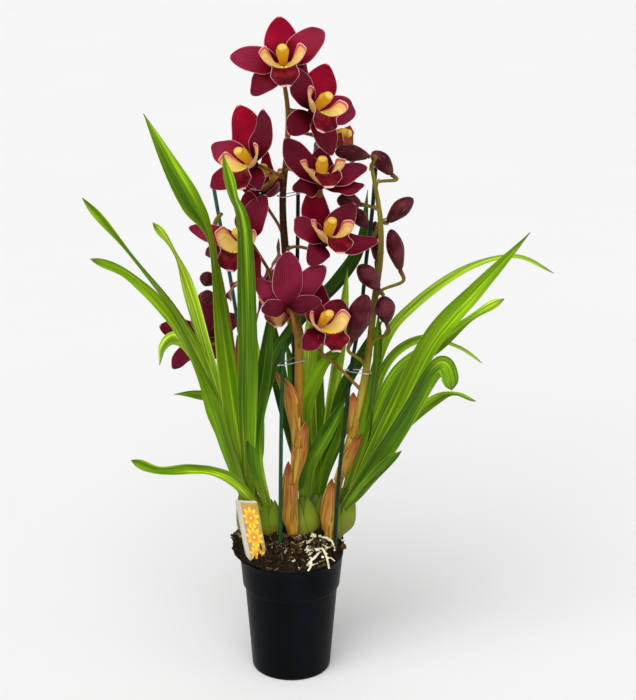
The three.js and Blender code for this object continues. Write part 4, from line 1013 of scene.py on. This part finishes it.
CAP_YELLOW = (0.80, 0.54, 0.08)
POLLEN_YELLOW = (0.92, 0.72, 0.15)


def tepal_width(t):
    oval = np.maximum(0.03, np.sin(np.pi * np.clip(t, 0, 1) ** 0.98)) ** 0.60
    return oval * (0.84 + 0.2 * smooth(t, 0, 0.4))


def add_tepal(piece, random, tepal, move):
    heading = math.radians(tepal["angle"])
    length, base, rise = tepal["length"], tepal["base"], tepal["rise"]
    start = TEPAL_START / length
    heights = ((start, base), (0.32, base + 0.6 * rise), (0.65, base + rise), (1, tepal["tip"]))
    spine = [around(heading, length * share, height) for share, height in heights]
    u = np.linspace(-1, 1, TEPAL_COLUMNS + 1)[None]
    t = TEPAL_ROWS[:, None]
    phase, _ = 2 * np.pi * random.random(2)
    ripple = np.sin(2 * np.pi * 1.6 * t + phase + 1.2 * np.sign(u))
    wave = TEPAL_WAVE * ripple * np.abs(u) ** 3 * smooth(t, 0.2, 0.5)
    keel = -TEPAL_KEEL * np.exp(-((u / 0.12) ** 2)) * (1 - smooth(t, 0.5, 1))
    left_curl, right_curl = random.uniform(-TEPAL_CURL, TEPAL_CURL, 2)
    curl = np.where(u < 0, left_curl, right_curl) * smooth(np.abs(u), 0.3, 1) * smooth(t, 0.3, 0.8)
    blade = sheet(spine, tepal["width"] * tepal_width(TEPAL_ROWS), (0, 0, 1), math.radians(tepal["arc"]),
                  TEPAL_ROWS, TEPAL_COLUMNS, TEPAL_THICKNESS,
                  rise=keel + (wave + curl) * (1 - smooth(t, 0.82, 1)))
    inner = covered(DEEP, CRIMSON, smooth(blade.along, 0.02, 0.55))
    inner = covered(inner, DUSTY, tepal["dusty"] * smooth(blade.along, 0.35, 0.8))
    outer = covered(DEEP, MAUVE, smooth(blade.along, 0.0, 0.3))
    # The brightness factor is painted light and shade: a tepal in shade is drawn darker, a lit one lighter.
    tint = np.where(blade.back[:, None] > 0.5, outer, inner) * tepal["painted_light"]
    piece.add(blade, tint, mark=np.where(blade.back > 0.5, 0.5, tepal["dusty"]), move=move)


def add_lip(piece, random, tint, move):
    u = np.linspace(-1, 1, LIP_COLUMNS + 1)[None]
    t = LIP_ROWS[:, None]
    width = np.maximum(1.5, curved(LIP_WIDTHS, LIP_ROWS))
    arc = np.radians(curved(LIP_ARCS, LIP_ROWS))
    lobe = smooth(t, 0.66, 0.8)
    phase = 2 * np.pi * random.random()
    frill = lobe * 2.0 * np.sin(2 * np.pi * 4.5 * t + phase + np.sign(u)) * smooth(np.abs(u), 0.45, 1)
    frill = frill + (1 - lobe) * 0.6 * np.sin(2 * np.pi * 6 * t + phase) * np.abs(u) ** 4
    aside = np.abs(u) * width[:, None] / 2
    ridge = np.exp(-(((aside - 2.6) / 1.25) ** 2)) * smooth(t, 0.12, 0.25) * (1 - smooth(t, 0.60, 0.70))
    cup = lobe * 3.0 * np.abs(u) ** 2
    face = np.stack([0 * LIP_ROWS, 1 - LIP_ROWS, 0.4 + LIP_ROWS], axis=1)
    blade = sheet(LIP_SPINE, width, face, arc, LIP_ROWS, LIP_COLUMNS, LIP_THICKNESS,
                  rise=frill + cup + LIP_RIDGE * ridge)
    piece.add(blade, tint, mark=np.concatenate([ridge.ravel(), np.zeros(ridge.size)]), move=move)


def add_column(piece, move):
    def hollow(t, angle):
        return 1 - 0.28 * smooth(t, 0.3, 0.6) * np.exp(-((angle - 1.5 * np.pi) / 0.6) ** 2)

    radius = straight(COLUMN_RADII, COLUMN_ROWS)
    body = tube(COLUMN_SPINE, radius, COLUMN_ROWS, 20, 0.85, relief=hollow)
    piece.add(body, blended(COLUMN_SHADES, body.along), slot=1, move=move)
    piece.add(ball((0, 10.2, 33.6), (5.7, 4.7, 3.6)), CAP_YELLOW, slot=1, move=move)
    for side in (-1, 1):
        piece.add(ball((1.5 * side, 8.2, 36.6), (1.1, 0.9, 0.8), sides=8), POLLEN_YELLOW, slot=1, move=move)


def direction_of(azimuth, elevation):
    turn, lift = math.radians(azimuth), math.radians(elevation)
    return np.array([math.sin(turn) * math.cos(lift), -math.cos(turn) * math.cos(lift), math.sin(lift)])


def mover_of(bloom):
    """A function that takes points from a bloom's own frame to their place."""
    azimuth, elevation, lean = bloom["turn"]
    front = direction_of(azimuth, elevation)
    right = unit(np.cross([0, 0, 1.0], front))
    up = np.cross(front, right)
    angle = -math.radians(lean)
    right = right * math.cos(angle) + up * math.sin(angle)
    basis = np.array([right, np.cross(front, right), front])
    return lambda points: points @ basis + bloom["at"]


def make_bloom(name, bloom, seed):
    random = np.random.default_rng(seed)
    move = mover_of(bloom)
    tepals = Piece()
    for key, tepal in TEPALS.items():
        add_tepal(tepals, random, {**tepal, **bloom.get("every", {}), **bloom.get(key, {})}, move)
    tepals.add(ball((0, 0, -0.4), HUB_RADII), DEEP * 1.3, move=move)
    tepals.build(f"bloom_{name}_petals", [TEPAL_LOOK], "tepal", [f"bloom_{name}_tepals"])
    lip = Piece()
    # A lip tint below white is painted shade.
    add_lip(lip, random, bloom.get("lip", (1, 1, 1)), move)
    add_column(lip, move)
    lip.build(f"bloom_{name}_centre", [LIP_LOOK, COLUMN_LOOK], "lip", [f"bloom_{name}_lip"])


# ---------------------------------------------------------------- buds
# Each bud: its stem, the place of its stalk on it, its base, its tip and its radius.
BUDS = {
    "b1": (RIGHT, 1, (89, -8, 660), (50, -12, 666), 9.5),
    "b2": (RIGHT, 0.95, (117, 8, 635), (94, 12, 661), 10),
    "b3": (RIGHT, 0.86, (81, 4, 600), (53, -4, 607), 10),
    "b4": (RIGHT, 0.82, (113, 4, 579), (142, 2, 608), 10),
    "b5": (RIGHT, 0.6, (129, 4, 520), (117, 8, 569), 10),
    "b6": (RIGHT, 0.62, (102, -24, 505), (78, -32, 536), 11),
    "b7": (RIGHT, 0.5, (113, -16, 461), (108, -22, 495), 12),
    "b8": (RIGHT, 0.44, (71, -38, 446), (87, -46, 505), 14),
    "b9": (RIGHT, 0.8, (92, 28, 564), (70, 38, 586), 9),
    "b10": (RIGHT, 0.7, (102, 30, 524), (100, 38, 571), 8),
    "c1": (LEFT, 0.52, (-94, 66, 485), (-111, 58, 495), 9),
    "c2": (LEFT, 0.47, (-94, 66, 462), (-111, 58, 471), 9),
}
BUD_ROWS = np.linspace(0, 1, 34)
BUD_SIDES = 40
BUD_SEAMS = 3
SEAM_DEPTH = 0.09
BUD_SHADES = [(0, (0.060, 0.014, 0.005)), (0.4, (0.040, 0.0008, 0.003)), (1, (0.060, 0.002, 0.008))]


def make_bud(name, bud, seed):
    _, _, base, tip, radius = bud
    random = np.random.default_rng(seed)
    middle = (np.array(base, float) + tip) / 2 + (0, 0, 1.5)
    size = np.sqrt(np.maximum(0, np.sin(np.pi * BUD_ROWS**0.85))) * (0.80 + 0.28 * smooth(BUD_ROWS, 0.1, 0.6))
    size = radius * np.maximum(size, 0.10 * (1 - BUD_ROWS) + 0.05)
    start = 2 * np.pi * random.random()

    def seam(t, angle):
        """0 in the middle of a sepal and 1 on the seam to the next."""
        return np.abs(((angle + start + 0.5 * t) * BUD_SEAMS / (2 * np.pi)) % 1 - 0.5) * 2

    def grooves(t, angle):
        return 1 - SEAM_DEPTH * smooth(seam(t, angle), 0.80, 1.0) * smooth(t, 0.05, 0.3)

    body = tube([base, middle, tip], size, BUD_ROWS, BUD_SIDES, across=(0.3, 1, 0.2), relief=grooves)
    near = seam(body.along, (body.across + 1) * np.pi)
    mark = smooth(near, 0.70, 0.80) * (1 - smooth(near, 0.80, 0.88)) * smooth(body.along, 0.2, 0.5)
    piece = Piece()
    piece.add(body, blended(BUD_SHADES, body.along) * (0.75 + 0.6 * random.random()), mark=mark)
    piece.build(f"bud_{name}_closed", [BUD_LOOK], "bud", [f"bud_{name}"])


# ---------------------------------------------------------------- flower stems
GOLD, BROWN = (0.30, 0.15, 0.015), (0.050, 0.016, 0.004)
OLIVE, LIME = (0.20, 0.15, 0.010), (0.26, 0.26, 0.012)
STRAW = (0.50, 0.40, 0.04)
# Sheaths are (start, end, side, opening at the tip, width), and shades are by height.
STEMS = {
    CENTRE: {
        "spine": [[1, -26, 166], [1, -26, 216], [7, -26, 328], [9, -25, 400], [8, -21, 450], [0, -17, 502],
                  [-7, -11, 549], [-10, -4, 608], [-5, 1, 666], [-4, 0, 710], [-8, -6, 745]],
        "radii": [5.8, 5.6, 5, 4.6, 3.4, 2.4],
        "sheaths": [(0.06, 0.165, (-1, -0.5, 0), 2, 22), (0.14, 0.215, (1, -0.6, 0), 4, 18),
                    (0.18, 0.31, (-1, -0.4, 0), 22, 21)],
        "shades": [(166, OLIVE), (250, GOLD), (440, GOLD), (500, BROWN), (625, BROWN), (665, GOLD),
                   (745, GOLD)],
    },
    RIGHT: {
        "spine": [[46, -24, 166], [48, -25, 207], [59, -26, 267], [73, -22, 324], [86, -16, 380],
                  [93, -8, 425], [99, 0, 484], [105, 4, 532], [105, 4, 575], [101, 4, 605], [94, 5, 641]],
        "radii": [5.2, 5, 4.6, 4, 3.2, 2.2],
        "sheaths": [(0.05, 0.2, (-1, -0.5, 0), 4, 20), (0.19, 0.3, (1, -0.5, 0), 6, 18),
                    (0.29, 0.39, (-1, -0.4, 0), 5, 17)],
        "shades": [(166, OLIVE), (330, STRAW), (420, OLIVE), (520, OLIVE), (600, LIME), (645, LIME)],
    },
    LEFT: {
        "spine": [[-52, 32, 166], [-56, 38, 250], [-76, 64, 420], [-94, 74, 525], [-92, 68, 560],
                  [-84, 62, 574]],
        "radii": [4.6, 4.2, 3.6, 2.2],
        "sheaths": [(0.2, 0.4, (1, -0.4, 0), 4, 17)],
        "shades": [(166, OLIVE), (400, OLIVE), (575, LIME)],
    },
}
STEM_ROWS = np.linspace(0, 1, 220)
STEM_SIDES = 20
NODE_SPACING = 62.0  # between the rings of a stem
STALK_RADII = [2.2, 1.8, 2.1, 2.9]
STALK_ROWS = np.linspace(0, 1, 26)
STALK_ARRIVAL = 14  # the longest straight end of a stalk
BLOOM_STALK_SHADES = [(0, (0.24, 0.14, 0.02)), (0.5, (0.24, 0.12, 0.02)), (1, (0.15, 0.035, 0.018))]
BUD_STALK_SHADES = [(0, LIME), (0.6, OLIVE), (1, (0.12, 0.05, 0.03))]
BRACT_ROWS = np.linspace(0, 1, 10)
BRACT_WIDTH, BRACT_THICKNESS = 7, 0.5
BRACT_SHADE = (0.44, 0.30, 0.12)
SHEATH_SHADES = [(0, (0.34, 0.19, 0.012)), (0.4, (0.44, 0.21, 0.025)), (0.75, (0.42, 0.14, 0.035)),
                 (1, (0.16, 0.022, 0.010))]
SHEATH_ROWS = np.linspace(0, 1, 30)
SHEATH_THICKNESS = 0.8


def add_sheath(piece, stem, start, end, side, opening, width, shades, taper=2.6):
    """A papery sheath round one side of a stem or bulb, from the place start to the place end."""
    outwards = unit(np.array(side, float))

    def reach(t):
        return straight(stem["radii"], start + (end - start) * t) - 0.8 + 2.6 * smooth(3 * t)

    marks = np.array([0, 1 / 3, 2 / 3, 1])
    centre, _ = curve(stem["spine"], start + (end - start) * marks)
    spine = centre + outwards * (reach(marks) + opening * marks**2.5)[:, None]
    full = 1.45 * width * np.maximum(0.04, (1 - SHEATH_ROWS**taper) ** 0.75)
    face = unit(-outwards + np.outer(smooth(SHEATH_ROWS, 0, 0.5), (0, 1.5, 0)))
    wrap = full / 2 / (reach(SHEATH_ROWS) + 0.8) * (0.8 - 0.45 * SHEATH_ROWS)
    blade = sheet(spine, full, face, wrap, SHEATH_ROWS, 14, SHEATH_THICKNESS)
    piece.add(blade, blended(shades, blade.along), slot=1, mark=start + outwards[0])


def add_bract(piece, start, heading):
    """The small pointed leaf under a stalk."""
    fold = unit(np.cross(heading, [0, 0, 1.0]))
    over = unit(np.cross(fold, heading))
    spine = [start - over * 1.5, start + heading * 5 + over * 2.6, start + heading * 9 + over * 3.8]
    width = BRACT_WIDTH * np.maximum(0.08, np.sqrt(1 - BRACT_ROWS**2))
    piece.add(sheet(spine, width, -over, 1.0, BRACT_ROWS, 6, BRACT_THICKNESS), BRACT_SHADE, slot=1)


def add_stalk(piece, stem, joint, via, end, direction, shades):
    """A stalk from its joint on the stem to its end, where it runs in the direction given."""
    start = point_on(stem["spine"], joint)
    reach = 0.3 * np.linalg.norm(end - start)
    leave = np.array(via, float) if via else [start * 0.7 + end * 0.3 + (0, 0, 0.12 * reach)]
    arrive = end - direction * min(STALK_ARRIVAL, 1.2 * reach)
    stalk = tube([start, *leave, arrive, end], straight(STALK_RADII, STALK_ROWS), STALK_ROWS)
    piece.add(stalk, blended(shades, stalk.along))
    add_bract(piece, start, unit(leave[0] - start))


def make_stem(name, stem):
    piece = Piece()
    path, _ = curve(stem["spine"], STEM_ROWS)
    travelled = np.concatenate([[0], np.cumsum(np.linalg.norm(np.diff(path, axis=0), axis=1))])
    ring = np.exp(-(((travelled + 20) % NODE_SPACING - NODE_SPACING / 2) / 1.4) ** 2)
    body = tube(stem["spine"], straight(stem["radii"], STEM_ROWS) * (1 + 0.10 * ring), STEM_ROWS, STEM_SIDES)
    piece.add(body, blended(stem["shades"], body.points[:, 2]))
    for start, end, side, opening, width in stem["sheaths"]:
        add_sheath(piece, stem, start, end, side, opening, width, SHEATH_SHADES)
    for bloom in BLOOMS.values():
        if bloom["stem"] == name:
            direction = direction_of(*bloom["turn"][:2])
            end = bloom["at"] - direction * HUB_BACK
            add_stalk(piece, stem, bloom["joint"], bloom.get("via"), end, direction, BLOOM_STALK_SHADES)
    for stem_name, joint, base, tip, _ in BUDS.values():
        if stem_name == name:
            direction = unit(np.array(tip, float) - base)
            add_stalk(piece, stem, joint, None, np.array(base, float), direction, BUD_STALK_SHADES)
    piece.build(name + "_stalks", [STEM_LOOK, SHEATH_LOOK], "flower_stem", [name])


# ---------------------------------------------------------------- stakes, ties and label
STAKES = {
    "stake_front": [[-14, -40, 166], [-12, -41, 343], [-10, -41, 417], [-9, -41, 446]],
    "stake_back": [[4, 8, 166], [3, 10, 443], [7, 12, 530], [8, 13, 625]],
    "stake_right": [[53, -31, 166], [57, -42, 270], [64, -28, 335], [72, -7, 402], [83, 6, 465],
                    [89, 12, 531], [95, 18, 584], [99, 24, 640]],
    "stake_left": [[-30, 44, 166], [-66, 78, 427], [-88, 92, 558], [-95, 96, 600]],
}
STAKE_SHADES = {
    "stake_front": (0.010, 0.060, 0.014), "stake_back": (0.006, 0.012, 0.010),
    "stake_right": (0.005, 0.026, 0.008), "stake_left": (0.025, 0.100, 0.085),
}
STAKE_RADIUS = 2.4
# Each tie: its stem, its stake and its height.
TIES = {
    "tie_centre_low": (CENTRE, "stake_front", 418),
    "tie_centre_high": (CENTRE, "stake_back", 612),
    "tie_right_low": (RIGHT, "stake_right", 398),
}
TIE_RADIUS = 0.6
TIE_GREY = (0.6, 0.6, 0.6)
TIE_CLEARANCE = 0.9  # between a tie and what it holds
RING_ROOM = 0.9  # more of it round a stem, for the stem's rings

LABEL_WIDTH, LABEL_LENGTH = 32.0, 123.0
LABEL_CORNER = 4.0
LABEL_THICKNESS = 0.7
LABEL_SPINE = [[-40, -39, 122], [-42.5, -41.5, 158], [-49, -42, 198], [-56, -40, 242]]
LABEL_FACE = (-0.5, -0.87, 0)
LABEL_ARC = -14
LABEL_WHITE = (0.8, 0.8, 0.78)


def make_stake(name, path):
    rows = np.linspace(0, 1, 120)
    radius = STAKE_RADIUS * np.where(rows > 0.995, 0.75, 1.0)
    piece = Piece()
    piece.add(tube(path, radius, rows, 14), STAKE_SHADES[name])
    piece.build(name + "_cane", [STAKE_LOOK], "stake", [name])


def at_height(points, height):
    """Where a curve reaches a height: the point and its place on the curve."""
    places = np.linspace(0, 1, 4001)
    path, _ = curve(points, places)
    place = places[np.argmax(path[:, 2] >= height)]
    return point_on(points, place), place


def make_tie(name, stem, stake, height):
    stem_at, place = at_height(STEMS[stem]["spine"], height)
    stake_at, _ = at_height(STAKES[stake], height)
    axis = unit((stake_at - stem_at) * (1, 1, 0))
    beside = np.array([-axis[1], axis[0], 0])
    clear = TIE_RADIUS + TIE_CLEARANCE
    stem_reach = straight(STEMS[stem]["radii"], place) + clear + RING_ROOM
    stake_reach = STAKE_RADIUS + clear

    def turn(centre, reach, *angles):
        """Points round a centre, at angles in degrees from the direction of the stake."""
        turns = [math.radians(angle) for angle in angles]
        return [centre + axis * reach * math.cos(a) + beside * reach * math.sin(a) for a in turns]

    path = [
        *turn(stake_at, stake_reach + 5, 4), *turn(stake_at, stake_reach, 20, 90),
        *turn(stem_at, stem_reach, 100, 150, 210, 260),
        *turn(stake_at, stake_reach, 270, 335), *turn(stake_at, stake_reach + 4, 352),
    ]
    piece = Piece()
    piece.add(tube(path, TIE_RADIUS, np.linspace(0, 1, 90), 8, across=(0, 0, 1)), TIE_GREY)
    piece.build(name + "_wire", [WIRE_LOOK], "wire", [name])


def make_label():
    corner = LABEL_CORNER / LABEL_LENGTH
    ends = corner * (1 - np.cos(np.linspace(0, np.pi / 2, 8)))
    rows = np.concatenate([ends, np.linspace(0.05, 0.95, 40), 1 - ends[::-1]])
    inset = np.clip(np.minimum(rows, 1 - rows) / corner, 0, 1)
    width = LABEL_WIDTH - 2 * LABEL_CORNER * (1 - np.sqrt(1 - (1 - inset) ** 2))
    card = sheet(LABEL_SPINE, width, LABEL_FACE, math.radians(LABEL_ARC), rows, 12, LABEL_THICKNESS)
    piece = Piece()
    piece.add(card, LABEL_WHITE)
    piece.build("plant_label", [LABEL_LOOK], "label", ["label"])


# ---------------------------------------------------------------- floor, light and camera
FLOOR_SIZE = 80
HORIZON, OVERHEAD = 0.92, 0.42  # strength of the plain white light from around and from above
LIGHTS = (  # name, direction, strength and the angle of its disc
    ("key", (0.30, 0.75, -0.95), 2.3, 60),
    ("fill", (-0.85, 0.60, -0.45), 0.4, 60),
)


def make_floor():
    white = Material("floor", Roughness=0.9)
    shade = white.mix((0.86, 0.86, 0.86), (0.90, 0.90, 0.90), white.noise(2.0))
    bpy.ops.mesh.primitive_plane_add(size=FLOOR_SIZE)
    floor = bpy.context.object
    floor.name = "floor"
    floor.data.materials.append(white.colour(shade))


def make_light():
    world = bpy.data.worlds.new("studio")
    world.use_nodes = True
    nodes, links = world.node_tree.nodes, world.node_tree.links
    place = nodes.new("ShaderNodeTexCoord")
    split = nodes.new("ShaderNodeSeparateXYZ")
    power = nodes.new("ShaderNodeMapRange")
    links.new(place.outputs["Generated"], split.inputs[0])
    links.new(split.outputs["Z"], power.inputs["Value"])
    links.new(power.outputs["Result"], nodes["Background"].inputs["Strength"])
    for key, value in (("From Min", 0.0), ("From Max", 0.45), ("To Min", HORIZON), ("To Max", OVERHEAD)):
        power.inputs[key].default_value = value
    nodes["Background"].inputs["Color"].default_value = (1.0, 1.0, 1.0, 1.0)
    bpy.context.scene.world = world
    for name, towards, energy, angle in LIGHTS:
        light = bpy.data.lights.new(name, "SUN")
        light.energy = energy
        light.angle = math.radians(angle)
        lamp = bpy.data.objects.new(name, light)
        bpy.context.scene.collection.objects.link(lamp)
        lamp.location = (0, 0, 3)
        lamp.rotation_euler = Vector(towards).to_track_quat("-Z", "Y").to_euler()


PICTURE_HEIGHT = 700.0
PICTURE_WIDTH = 636.0
FOCAL_PIXELS = 1762.0
AXIS_PIXEL = 291.35  # the pixel column of the pot's axis
SENSOR = 36.0
CAMERA_AT = (0.0, -2.0, 1.110)
CAMERA_DIP = 19.0


def make_camera():
    data = bpy.data.cameras.new("camera")
    data.sensor_width = SENSOR
    data.lens = FOCAL_PIXELS * SENSOR / PICTURE_HEIGHT
    data.shift_x = (PICTURE_WIDTH / 2 - AXIS_PIXEL) / PICTURE_HEIGHT
    camera = bpy.data.objects.new("camera", data)
    camera.location = CAMERA_AT
    camera.rotation_euler = (math.radians(90 - CAMERA_DIP), 0, 0)
    bpy.context.scene.collection.objects.link(camera)
    bpy.context.scene.camera = camera


make_camera()
make_floor()
make_light()
make_pot()
make_medium()
for growth_name, growth_shape in GROWTHS.items():
    make_growth(growth_name, growth_shape)
for stem_key, stem_shape in STEMS.items():
    make_stem(stem_key, stem_shape)
for number, (bloom_name, bloom_shape) in enumerate(BLOOMS.items()):
    make_bloom(bloom_name, bloom_shape, 100 + number)
for number, (bud_name, bud_shape) in enumerate(BUDS.items()):
    make_bud(bud_name, bud_shape, 200 + number)
for stake_name, stake_path in STAKES.items():
    make_stake(stake_name, stake_path)
for tie_name, tie_shape in TIES.items():
    make_tie(tie_name, *tie_shape)
make_label()
